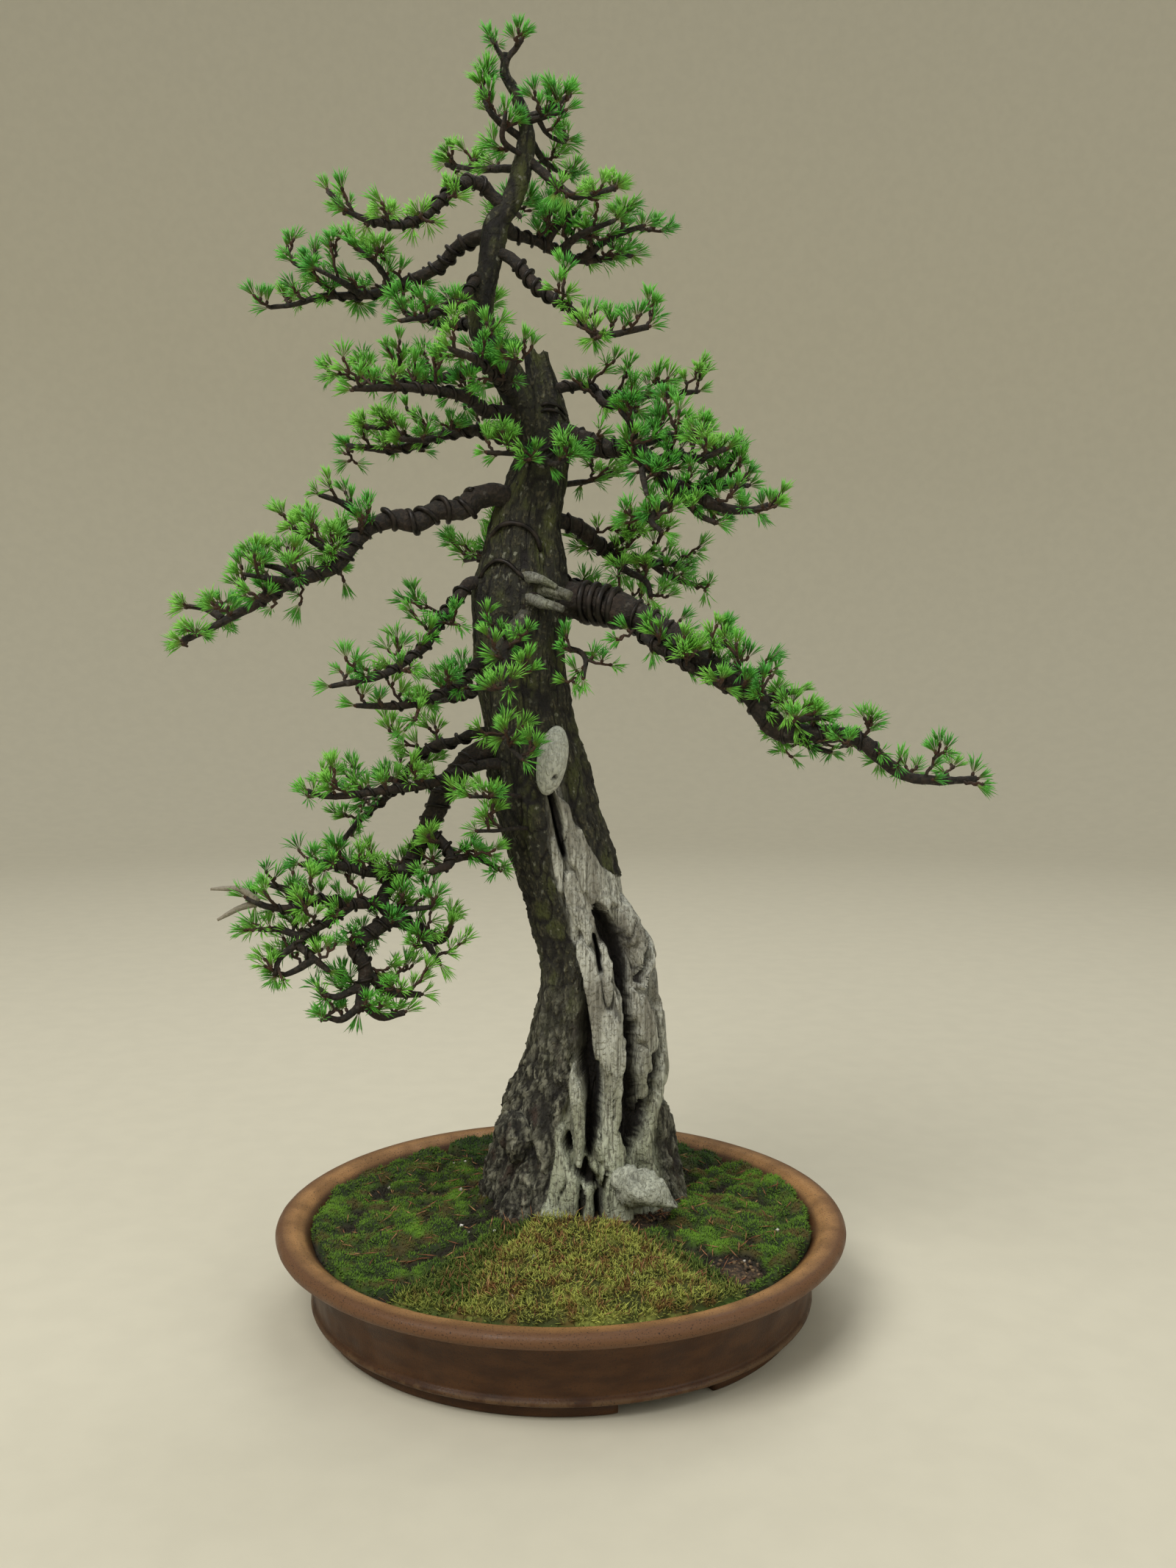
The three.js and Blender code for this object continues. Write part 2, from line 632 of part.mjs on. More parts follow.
const columns = [
  ...Array.from({ length: frontColumns }, (_, k) => -Math.PI + (Math.PI * k) / frontColumns),
  ...Array.from({ length: backColumns }, (_, k) => (Math.PI * k) / backColumns),
];

function makeTrunk(fat) {
  const top = trunkStations[trunkStations.length - 1][0];
  const first = trunkStations[0][0] + 24;
  const rows = Math.round((top - first) / rowPitch);
  const heights = Array.from({ length: rows + 1 }, (_, k) => first + ((top - first) * k) / rows);
  const foot = columns.map((turn) => {
    const point = trunkPoint(turn, trunkStations[0][0] + 8, fat);
    point.z = soilHeight(point.x, point.y) + clear + 0.1 - fat;
    return point;
  });
  const underside = plugRing(soilHeight(0, 0) + 2 - fat, fat);
  const rings = heights.map((z) => columns.map((turn) => trunkPoint(turn, z, fat)));
  const wood = skin([plugRing(plug.foot, fat), underside, foot, ...rings], stubHollow);
  const stem = tube(leader.map(vector), leader.map((row) => row[3] + fat), 8);
  const swellings = burrs.map(({ place, radii, lean }) => {
    const ball = new THREE.IcosahedronGeometry(1, 1);
    ball.scale(radii[0] + fat, radii[1] + fat, radii[2] + fat).rotateY(radians(lean));
    return solidFrom(ball.translate(...place));
  });
  return wasm.Manifold.union([wood, stem, ...swellings]);
}

// The trunk's own middle at a height, where a branch takes root
function trunkMiddle(z) {
  if (z < 600) {
    const [left, right, middle] = between(trunkStations, z);
    return new THREE.Vector3((left + right) / 2, middle, z);
  }
  const [x, y] = between(leader.map(([lx, ly, lz]) => [lz, lx, ly]), z);
  return new THREE.Vector3(x, y, z);
}

// A smooth route through points, in even steps, that can be asked for the place at a length
function pathOf(points) {
  const curve = new THREE.CatmullRomCurve3(points, false, "catmullrom", 0.5);
  const total = curve.getLength();
  const steps = Math.max(2, Math.round(total / ringPitch));
  const rings = curve.getSpacedPoints(steps);
  const at = (length) => {
    const share = clamp(length / total, 0, 1);
    return { point: curve.getPointAt(share), along: curve.getTangentAt(share) };
  };
  return { rings, total, at };
}

function trianglesOf(solid) {
  const { vertProperties, triVerts } = solid.getMesh();
  const corner = (i) => new THREE.Vector3().fromArray(vertProperties, 3 * i);
  const count = triVerts.length / 3;
  return Array.from({ length: count }, (_, i) => [...triVerts.subarray(3 * i, 3 * i + 3)].map(corner));
}

// The face that lies best for a shoot that leaves near `root` on its way out, or none. Its score grows by one
// for each 5 mm from the root, and by two for a quarter turn away. A sliver of a face carries no shoot.
function faceFor(faces, root, way) {
  const worst = 3.5;
  const best = { score: worst };
  faces.forEach((face) => {
    const [a, b, c] = face;
    const square = b.clone().sub(a).cross(c.clone().sub(a));
    const area = square.length() / 2;
    const edge = Math.max(a.distanceTo(b), b.distanceTo(c), c.distanceTo(a));
    const middle = middleOf(face);
    const leaning = 1 - square.normalize().dot(way);
    const score = middle.distanceTo(root) / 5 + 2 * leaning;
    const carries = area > 1 && area / edge > 0.5 && leaning < 0.7;
    if (carries && score < best.score) Object.assign(best, { face, middle, score });
  });
  return best.face ? best : null;
}

// A shoot raised out of a face: a three-sided twig that ends in a bud, whose faces are drawn out to needles
function shootFrom({ face, middle }, stem, keys) {
  const tip = stem[stem.length - 1];
  const along = tip.clone().sub(stem.length > 1 ? stem[stem.length - 2] : middle).normalize();
  const budTop = tip.clone().addScaledVector(along, budLength);
  const path = [middle, ...stem, budTop];
  const radii = path.map((_, i) => (i < path.length - 2 ? twigRadius : budRadius));
  const rings = [face, ...ringsAlong(path, radii, 3, face[0].clone().sub(middle)).slice(1)];
  const [low, high] = rings.slice(-2);
  const point = budTop.clone().addScaledVector(along, budRadius);
  const heart = tip.clone().addScaledVector(along, budLength / 2);
  const spike = ([a, b, c], angle, key) => {
    const outward = middleOf([a, b, c]).sub(heart);
    outward.addScaledVector(along, -outward.dot(along)).normalize();
    outward.applyAxisAngle(along, radians(needleSwing * (draw(...keys, key + 40) - 0.5)));
    const lean = radians(angle + needleSwing * 0.5 * (draw(...keys, key) - 0.5));
    const length = needleLength * (0.85 + 0.3 * draw(...keys, key + 20));
    const end = heart.clone().addScaledVector(along, length * Math.cos(lean));
    end.addScaledVector(outward, length * Math.sin(lean));
    return [[a, b, end], [b, c, end], [c, a, end]];
  };
  const wood = rings.slice(1, -1).flatMap((ring, i) => band(rings[i], ring));
  const spread = [needleSpread.side, needleSpread.middle];
  const sides = band(low, high).flatMap((side, k) => spike(side, spread[k % 2], k));
  const tops = fan(high, point).flatMap((top, k) => spike(top, needleSpread.top, k + 9));
  const needles = [...sides, ...tops];
  return { wood, needles, solid: solidOfTriangles([[face[1], face[0], face[2]], ...wood, ...needles]) };
}

// Where the shoots of one stretch of branch grow. They alternate left and right, lean outwards and turn up at
// their ends. A spur is a short shoot that stands on the branch itself, or on a long twig. `steps` leads from
// the foot of a shoot, `root`, to its bud, and `way` is the direction in which it leaves.
function stemsOf({ path, thick, tip, bare, twig }, keys) {
  const leafy = path.total - bare;
  const count = leafy > 0 ? Math.max(1, Math.round(leafy / twigSpacing)) : 0;
  const stems = [];
  const addSpur = (root, way, key) => {
    const steps = [root.clone().addScaledVector(way, spurLength)];
    stems.push({ root, way, steps, keys: [...keys, ...key] });
  };
  if (count) {
    const { point, along } = path.at(path.total);
    const steps = [point.clone().addScaledVector(along, endShootLength)];
    stems.push({ root: point, way: along, steps, keys: [...keys, 99, 6] });
  }
  for (let i = 0; i < count; i++) {
    const length = bare + ((i + 0.5) * leafy) / count;
    const share = length / path.total;
    const { point, along } = path.at(length);
    const side = new THREE.Vector3().crossVectors(along, up).normalize().multiplyScalar(i % 2 ? -1 : 1);
    const rise = radians(-5 + 70 * draw(...keys, i, 1));
    const way = side.clone().multiplyScalar(Math.cos(rise)).addScaledVector(up, Math.sin(rise));
    way.addScaledVector(along, 0.5).normalize();
    const lift = way.clone().addScaledVector(up, 0.6).normalize();
    const growth = THREE.MathUtils.lerp(twigShort, twigLong, draw(...keys, i, 2));
    const reach = twig * growth * (1.1 - 0.35 * share);
    const radius = THREE.MathUtils.lerp(thick, tip, share);
    const root = point.clone().addScaledVector(way, radius);
    const knee = root.clone().addScaledVector(way, reach / 2);
    const end = knee.clone().addScaledVector(lift, reach / 2);
    stems.push({ root, way, steps: [knee, end], keys: [...keys, i, 3] });
    if (draw(...keys, i, 4) < spurShare) {
      const away = up.clone().addScaledVector(side, -0.9).addScaledVector(along, 0.4).normalize();
      addSpur(path.at(length + 0.4 * twigSpacing).point.addScaledVector(away, radius), away, [i, 5]);
    }
    if (draw(...keys, i, 7) < spurShare && reach > longTwig) {
      const across = up.clone().multiplyScalar(0.5).addScaledVector(along, i % 4 < 2 ? 1 : -1).normalize();
      const foot = root.clone().addScaledVector(way, 0.3 * reach).addScaledVector(across, twigRadius);
      addSpur(foot, across, [i, 8]);
    }
  }
  return stems;
}

// A wire coil round a branch, with its turns' corners `slack` further out than round a round branch
function makeCoil(path, { thick, tip }, { from, to, pitch, radius }, slack) {
  const steps = 6;
  const count = Math.round(((to - from) / pitch) * steps);
  const points = Array.from({ length: count + 1 }, (_, i) => {
    const length = from + ((to - from) * i) / count;
    const { point, along } = path.at(length);
    const wood = THREE.MathUtils.lerp(thick, tip, length / path.total);
    const side = new THREE.Vector3().crossVectors(along, up).normalize();
    const across = new THREE.Vector3().crossVectors(side, along);
    const turn = (2 * Math.PI * i) / steps;
    const reach = (wood + clear + radius) / Math.cos(Math.PI / steps) + slack;
    point.addScaledVector(side, reach * Math.cos(turn));
    return point.addScaledVector(across, reach * Math.sin(turn));
  });
  return tube(points, points.map(() => radius), 4);
}

// The tightest coil that keeps clear of the branch's flat sides
function windCoil(path, branch, wire, wood) {
  const tightest = -2.4;
  const step = 0.15;
  let slack = tightest;
  let coil = makeCoil(path, branch, wire, slack);
  while (coil.minGap(wood, 1) < clear) {
    slack += step;
    coil = makeCoil(path, branch, wire, slack);
  }
  return coil;
}

// Assembly
const trunk = makeTrunk(0);
const trunkZone = makeTrunk(clear);
const plugZone = skin([plugRing(plug.foot - clear, clear), plugRing(soilHeight(0, 0) + 4, clear)]);
add("pot", makePot(), finishes.pot);
add("soil", makeSoil(plugZone), finishes.soil);
drainTurns.forEach((turn, i) => add(`drain_screen_${i + 1}`, makeScreen(turn), finishes.screen));
drainTurns.forEach((turn, i) => add(`drain_clip_${i + 1}`, makeClip(turn), finishes.wire));
add("trunk", trunk, finishes.bark);

// Wood of every branch first, then the coils, then the twigs that keep clear of the other branches
const limbs = branches.map((branch, number) => {
  const first = vector(branch.route[0]);
  const heart = trunkMiddle(first.z - 6);
  const path = pathOf([heart, ...branch.route.map(vector)]);
  const inside = heart.distanceTo(first);
  const forks = (branch.forks ?? []).map((fork) => ({ ...fork, path: pathOf(fork.route.map(vector)) }));
  const stretches = [{ ...branch, path, bare: branch.bare + inside }, ...forks];
  const woods = stretches.map(({ path: way, thick, tip }) => {
    const radii = way.rings.map((_, i) => THREE.MathUtils.lerp(thick, tip, i / (way.rings.length - 1)));
    return tube(way.rings, radii, thick > boughRadius ? boughSides : twiggySides);
  });
  const wood = mainBody(wasm.Manifold.union(woods).subtract(trunkZone));
  return { branch, number, inside, stretches, wood };
});

const coils = limbs
  .filter(({ branch }) => branch.wire)
  .map(({ branch, inside, stretches, wood }) => {
    const wire = { ...branch.wire, from: branch.wire.from + inside, to: branch.wire.to + inside };
    const coil = windCoil(stretches[0].path, branch, wire, wood);
    return { name: branch.name.replace("branch", "wire"), coil };
  });

function near(a, b) {
  const boxA = a.boundingBox();
  const boxB = b.boundingBox();
  return [0, 1, 2].every((k) => boxA.min[k] < boxB.max[k] + leafGap && boxB.min[k] < boxA.max[k] + leafGap);
}

const keepsClear = (solid, others, gap) =>
  others.every((other) => !near(solid, other) || solid.minGap(other, gap) >= gap);
const crosses = (a, b) => near(a, b) && a.intersect(b).volume() > 1e-3;

const grown = [trunk];
limbs.forEach((limb, i) => {
  const others = [...grown, ...limbs.slice(i + 1).map(({ wood }) => wood), ...coils.map(({ coil }) => coil)];
  const faces = trianglesOf(limb.wood);
  const needles = [];
  const shoots = [];
  const stems = limb.stretches.flatMap((stretch, k) => stemsOf(stretch, [limb.number, k]));
  const fits = ({ solid }, parent) => {
    const strangers = shoots.filter((other) => other !== parent).map((other) => other.solid);
    const touches = crosses(solid, limb.wood) || (parent && crosses(solid, parent.solid));
    return !touches && keepsClear(solid, others, leafGap) && keepsClear(solid, strangers, shootGap);
  };
  stems.forEach(({ root, way, steps, keys }) => {
    const place = faceFor(faces, root, way);
    const parent = place && shoots.find(({ wood }) => wood.includes(place.face));
    for (let attempt = 0; place && attempt < tries; attempt++) {
      const move = way.clone().multiplyScalar(0.6 * attempt).addScaledVector(up, 0.3 * attempt);
      const shoot = shootFrom(place, steps.map((step) => step.clone().add(move)), [...keys, attempt]);
      if (!fits(shoot, parent)) continue;
      faces.splice(faces.indexOf(place.face), 1, ...shoot.wood);
      needles.push(...shoot.needles);
      shoots.push(shoot);
      return;
    }
  });
  const leafy = solidOfTriangles([...faces, ...needles]);
  grown.push(leafy);
  add(limb.branch.name, leafy, finishes.leaf);
});
coils.forEach(({ name, coil }) => add(name, coil, finishes.wire));

// Moss: thin domed sheets on the soil, cut clear of the trunk
function makeMoss({ turns, reach, thick, lumps }, key) {
  const across = Math.round((turns[1] - turns[0]) / mossColumnTurn);
  const swell = (steep, share) => clamp(steep * Math.sin(Math.PI * share), 0, 1);
  const placeOf = (i, k, lift) => {
    const u = i / across;
    const v = k / mossRows;
    const wave = 4 * Math.sin(7 * u + 2.1 * key) * (1 - v);
    const turn = radians(THREE.MathUtils.lerp(turns[0], turns[1], u));
    const r = THREE.MathUtils.lerp(reach[0] + wave, reach[1], v);
    const dome = swell(2.4, u) * swell(2, v);
    const lump = lumps * (draw(key, i, k) - 0.4);
    const height = mossThin + dome * (0.8 * (thick - mossThin) + lump);
    const x = r * Math.cos(turn);
    const y = r * Math.sin(turn);
    return new THREE.Vector3(x, y, soilHeight(x, y) + clear + (lift ? height : 0));
  };
  const layer = (lift) =>
    Array.from({ length: across + 1 }, (_, i) =>
      Array.from({ length: mossRows + 1 }, (_, k) => placeOf(i, k, lift)),
    );
  const top = layer(true);
  const bottom = layer(false);
  const triangles = [];
  const quad = (a, b, c, d) => triangles.push([a, b, c], [a, c, d]);
  for (let i = 0; i < across; i++) {
    for (let k = 0; k < mossRows; k++) {
      quad(top[i][k], top[i][k + 1], top[i + 1][k + 1], top[i + 1][k]);
      quad(bottom[i][k], bottom[i + 1][k], bottom[i + 1][k + 1], bottom[i][k + 1]);
    }
    quad(bottom[i][0], top[i][0], top[i + 1][0], bottom[i + 1][0]);
    quad(bottom[i][mossRows], bottom[i + 1][mossRows], top[i + 1][mossRows], top[i][mossRows]);
  }
  for (let k = 0; k < mossRows; k++) {
    quad(bottom[0][k], bottom[0][k + 1], top[0][k + 1], top[0][k]);
    quad(bottom[across][k], top[across][k], top[across][k + 1], bottom[across][k + 1]);
  }
  return mainBody(solidOfTriangles(triangles).subtract(trunkZone));
}

mossPatches.forEach((patch, i) => add(patch.name, makeMoss(patch, i), finish(patch.color, 1)));

const middle = new THREE.Box3().setFromObject(bonsai).getCenter(new THREE.Vector3());
bonsai.position.set(-middle.x, -middle.y, 0);

export default bonsai;
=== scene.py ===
"""A tamarack (larch) bonsai in its round, shallow, brown pot.

Lengths here are millimetres from the pot's axis on the surface that it stands on, with the front facing -Y.
`to_metres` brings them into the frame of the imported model.
"""

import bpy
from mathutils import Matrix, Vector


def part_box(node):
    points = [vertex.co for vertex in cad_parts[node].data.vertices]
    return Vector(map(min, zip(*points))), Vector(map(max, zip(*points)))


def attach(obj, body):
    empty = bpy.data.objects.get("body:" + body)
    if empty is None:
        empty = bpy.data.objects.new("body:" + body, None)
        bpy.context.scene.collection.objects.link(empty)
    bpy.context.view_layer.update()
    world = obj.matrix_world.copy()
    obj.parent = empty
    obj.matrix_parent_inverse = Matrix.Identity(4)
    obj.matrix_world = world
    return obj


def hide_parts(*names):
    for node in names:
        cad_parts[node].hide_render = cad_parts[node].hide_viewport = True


bl_info = {
    "name": "Tamarack Bonsai",
    "version": (1, 0, 0),
    "blender": (4, 5, 0),
    "location": "View3D > Sidebar > Bonsai",
    "description": "Builds a larch bonsai with bark, bare wood, needles, wire, moss and its glazed pot",
    "category": "Add Mesh",
}

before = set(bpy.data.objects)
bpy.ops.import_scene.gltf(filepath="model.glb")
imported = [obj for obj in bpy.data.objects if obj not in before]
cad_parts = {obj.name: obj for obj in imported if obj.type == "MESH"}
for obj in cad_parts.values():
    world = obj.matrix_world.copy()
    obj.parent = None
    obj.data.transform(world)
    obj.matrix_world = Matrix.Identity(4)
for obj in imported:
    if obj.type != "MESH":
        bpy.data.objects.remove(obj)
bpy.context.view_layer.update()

import math
from collections import namedtuple
from itertools import product

import bpy
import numpy as np
from bpy.props import FloatProperty, FloatVectorProperty, IntProperty, PointerProperty
from bpy.types import Operator, Panel, PropertyGroup

MM = 0.001
UP = np.array([0.0, 0.0, 1.0])
POT_LOW, POT_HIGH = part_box("pot")
POT_AXIS = np.array([(POT_LOW[0] + POT_HIGH[0]) / 2, (POT_LOW[1] + POT_HIGH[1]) / 2, 0.0])

# Pot: the wall's profile from the foot ring up, over the lip and down inside, as (radius, height, rounding),
# then where the lip's flat top, its outer edge and the bead start, as (radius, height)
POT_PROFILE = [
    (150, 10, 0), (159.5, 8.3, 1), (164.6, 8.8, 1.4), (168, 10.6, 1.5), (167.4, 13.2, 1.5),
    (165.2, 14.6, 1.2), (168.4, 34, 14), (173, 49.5, 5), (180.5, 52.2, 4), (188.6, 53.2, 3.6),
    (190.3, 58.4, 3.4), (186.8, 62.1, 3), (177, 61.9, 3), (173.2, 59.6, 2.6), (167.5, 55.5, 3),
    (164.4, 49, 3), (157.5, 23, 4), (153, 18, 2),
]
LIP_TOP = (168, 56)
LIP_EDGE = (182, 50)
BEAD = (165.4, 14.4)
FOOT_PROFILE = [(150, 11, 0), (150.6, 0.4, 0.4), (152, 0, 1), (158.4, 0, 1), (160, 1.6, 1.2), (160.6, 11, 0)]
FOOT_GAP_TURNS = (-67, 53, 173)
FOOT_GAP = 62
FOOT_REACH = 155
DRAIN_TURNS = (-20, 100, 220)
DRAIN_REACH = 78
DRAIN_RADIUS = 10
FLOOR_TOP = 18
FLOOR_UNDER = 10
POT_SIDES = 208

# Soil, with its side as (radius, height) from the floor up
SOIL_EDGE = 162.5
SOIL_SIDE = [(60, FLOOR_TOP + 0.6), (153, FLOOR_TOP + 0.6), (157.5, 24), (SOIL_EDGE, 50)]
SOIL_EDGE_HEIGHT = 52
SOIL_SLOPE = 0.12
SOIL_CROWN = 20
SOIL_SIDES = 176
# Nearest and farthest from the axis
GRAINS_REACH = (45, 158)
LITTER_REACH = (50, 154)
# Open soil in the moss on the right: (x, y, radius)
OPEN_SOIL = (108, -92, 14)
MOSS_EDGE = 167

# Trunk: (height, left edge, right edge, middle in depth, half depth)
TRUNK_STATIONS = np.array([
    (60, -52, 84, 18, 52), (80, -51, 81, 18, 50), (100, -47, 76, 17, 46), (120, -43, 72, 16, 43),
    (141, -33, 69, 15, 40), (156, -26, 71, 14, 38), (171, -21, 71, 13, 37), (212, -15, 67, 12, 35),
    (232, -14, 64, 11, 34), (252, -18, 58, 11, 33), (272, -24, 42, 10, 32), (293, -32, 37, 10, 31),
    (322, -38, 29, 9, 30), (352, -47, 19, 8, 29), (392, -50, 7, 6, 27), (431, -56, 2, 5, 26),
    (458, -58, 3, 4, 26), (480, -60, 6, 3, 26), (499, -53, 2, 3, 23), (518, -48, -2, 2, 21),
    (537, -40, 1, 2, 19), (556, -33, 3, 1, 17), (574, -24, 5, 1, 14), (593, -21, 2, 1, 11),
    (612, -20, -3, 0, 9), (631, -22, -11, 0, 5),
])
STUB_FOOT = 600
STUB_HOLLOW = 9
TRUNK_FOOT = 46
TRUNK_TOP = 632
DEADWOOD_TOP = 374

# The living leader above the chopped stub: (x, y, z, radius)
LEADER = np.array([
    (-16, 2, 575, 11), (-24, 0, 597, 11), (-42, -4, 627, 10.5), (-51, -6, 647, 9), (-50, -7, 664, 7.5),
    (-46, -8, 681, 7.5), (-43, -8, 699, 8.5), (-40, -8, 711, 7.5), (-32, -8, 722, 6.5), (-26, -9, 738, 6.2),
    (-22, -10, 756, 5.5), (-22, -11, 770, 4.5), (-28, -12, 788, 3.6), (-35, -13, 800, 3),
    (-34, -14, 812, 2.4),
])

# Roots that spread at the foot: (bearing and half spread in degrees, reach, height where they start)
ROOTS = [
    (-128, 20, 14, 118), (-165, 16, 8, 110), (-18, 15, 7, 100), (60, 24, 12, 120), (140, 24, 11, 125),
]

# The line between the bark on the left and the bare wood, seen from the front: (x, z), from the top down
BARK_LINE = np.array([
    (-4, 380), (-12, 362), (-10, 343), (-8, 319), (-7, 296), (0, 272), (4, 254), (10, 244), (12, 213),
    (10, 190), (7, 166), (4, 149), (-3, 123), (-5, 106), (-8, 82), (-15, 60),
])
# The same on the right, above the place where the bare wood comes round the side
RIGHT_BARK_LINE = np.array([
    (8, 384), (5, 374), (2, 352), (5, 336), (12, 322), (17, 309), (22, 299), (31, 292), (42, 285), (90, 276),
])

# Bare wood, seen from the front. A plank stands out by its first number and a cleft sinks in by it. The
# points of its middle line are (x, z, half width).
PLANKS = [
    (6.0, [(-6, 346, 2), (-1, 335, 4.5), (5, 319, 6.5), (12, 304, 8), (20, 289, 8.5), (26, 274, 5)]),
    (3.0, [(-5, 316, 3), (-3, 302, 4), (0, 284, 3.5)]),
    (1.5, [(4, 288, 6), (10, 278, 8), (15, 264, 8), (18, 254, 5)]),
    (4.5, [(11, 270, 3), (16, 256, 4), (18, 246, 2)]),
    (3.5, [(21, 303, 4), (28, 292, 5.5), (34, 280, 4), (36, 272, 2)]),
    (6.0, [(40, 272, 4), (46, 260, 6.5), (53, 247, 6.5), (55, 233, 5), (52, 218, 2)]),
    (4.0, [(27, 247, 3), (29, 236, 4.5), (31, 222, 3)]),
    (6.0, [(13, 246, 3), (17, 236, 5), (22, 222, 8.5), (27, 207, 11), (28, 190, 11), (30, 176, 9.5),
           (36, 166, 8)]),
    (4.0, [(35, 176, 8), (35, 158, 7.5), (34, 141, 6.5), (31, 126, 5.5), (26, 110, 3)]),
    (2.5, [(46, 212, 5), (52, 200, 7), (57, 187, 6.5), (62, 172, 4)]),
    (5.5, [(60, 240, 3), (65, 222, 4), (68, 200, 5), (69, 178, 4.5), (66, 160, 4), (61, 140, 4),
           (56, 122, 3.6), (54, 106, 3), (60, 92, 3)]),
    (5.0, [(6, 172, 2), (8, 156, 4.5), (11, 138, 5), (12, 122, 4), (11, 106, 2)]),
    (4.5, [(55, 172, 3), (54, 151, 3.5), (52, 132, 1.5)]),
    (5.0, [(-3, 126, 3), (-1, 107, 5), (2, 95, 9), (-1, 75, 12), (-6, 58, 14)]),
    (3.5, [(36, 118, 6), (33, 100, 9), (34, 84, 10), (36, 64, 11)]),
    (3.0, [(21, 98, 3), (17, 84, 4), (16, 62, 5)]),
]
CLEFTS = [
    (11, [(-7, 342, 2.5), (-4, 331, 3), (-1, 316, 3), (2, 304, 2)]),
    (6, [(5, 294, 4.5)]),
    (9, [(19, 265, 4)]),
    (15, [(23, 268, 3), (30, 261, 6), (36, 249, 7), (41, 233, 6), (43, 218, 4), (44, 206, 3)]),
    (9, [(22, 250, 2), (24, 240, 2.4), (25, 231, 2)]),
    (16, [(13, 226, 2), (13, 212, 4), (12, 197, 5.5), (14, 181, 7), (18, 168, 7.5), (20, 155, 5.5),
          (22, 143, 6), (21, 127, 5), (18, 108, 3.5)]),
    (13, [(44, 205, 3), (47, 190, 4.5), (47, 174, 5.5), (46, 156, 6), (45, 140, 7), (45, 122, 7),
          (46, 108, 4)]),
    (10, [(60, 168, 2), (58, 150, 3.4), (53, 130, 3), (51, 116, 2)]),
    (12, [(3, 117, 3.4), (4, 112, 3)]),
    (10, [(12, 100, 4), (17, 92, 4.5), (22, 88, 3)]),
    (7, [(14, 82, 2), (12, 64, 2.4)]),
    (7, [(28, 96, 2), (25, 80, 2.6), (24, 64, 3)]),
    (8, [(51, 262, 1.5), (54, 249, 2), (53, 232, 2), (51, 221, 1.5)]),
    (8, [(59, 240, 1.5), (63, 225, 2.2), (66, 206, 2.2), (68, 195, 1.5)]),
    (8, [(63, 190, 1.5), (65, 176, 1.8), (62, 161, 2), (58, 150, 2), (53, 138, 1.5)]),
    (7, [(12, 225, 2), (15, 206, 2.5), (16, 191, 2.5)]),
]
BARK_STRANDS = [
    [(66, 132, 3), (70, 118, 6), (75, 100, 8), (80, 78, 10), (84, 60, 12)],
]

# Burrs: (middle, radii, lean to the right in degrees, share of bare wood, place of a small hole seen from
# the front)
BURRS = [
    ((-6, -23, 367), (10, 8, 23), 11, 1, (-4, 356)),
    ((-31, -12, 116), (13, 15, 17), 0, 0, None),
]

# Bleached stumps: (share of bare wood, how far the first end is hollow, [(x, y, z, radius)])
SNAGS = [
    (1, 9, [(37, -29, 86, 8), (41, -31, 88, 11.5), (48, -34, 88, 14), (56, -37, 87, 12.5), (64, -39, 84, 9),
            (70, -41, 81, 4.5), (75, -42, 78, 1)]),
    (0.35, 0, [(-30, -16, 487, 3.2), (-20, -22, 485, 3.2), (-11, -27, 482, 2.8), (-3, -30, 477, 2.2)]),
    (0.35, 0, [(-16, -16, 478, 4), (-6, -24, 476, 4), (4, -30, 472, 3.6), (6, -31, 471, 3)]),
    (0.35, 0, [(-24, -18, 474, 3.2), (-14, -26, 469, 3.2), (-4, -31, 465, 2.8), (1, -33, 463, 2.4)]),
    (0.1, 0, [(-22, -18, 462, 5), (-29, -27, 452, 5), (-37, -35, 442, 4), (-44, -41, 432, 3)]),
]

# Wires over the trunk's front, seen from the front: ([(x, z)], radius)
TRUNK_WIRES = [
    ([(-46, 508), (-44, 513), (-38, 518), (-30, 519), (-21, 516), (-15, 509), (-13, 500)], 1.6),
    ([(-16, 593), (-9, 596), (-2, 595), (4, 591)], 1.2),
    ([(-16, 589), (-9, 592), (-2, 591), (4, 587)], 1.2),
    ([(-26, 568), (-20, 564), (-11, 566), (-2, 572)], 1.2),
    ([(-27, 563), (-20, 559), (-10, 561), (0, 568)], 1.2),
    ([(-54, 481), (-50, 489), (-43, 495), (-35, 494), (-27, 487), (-20, 480)], 1.4),
    ([(-20, 455), (-24, 465), (-19, 474), (-10, 470)], 1.2),
]

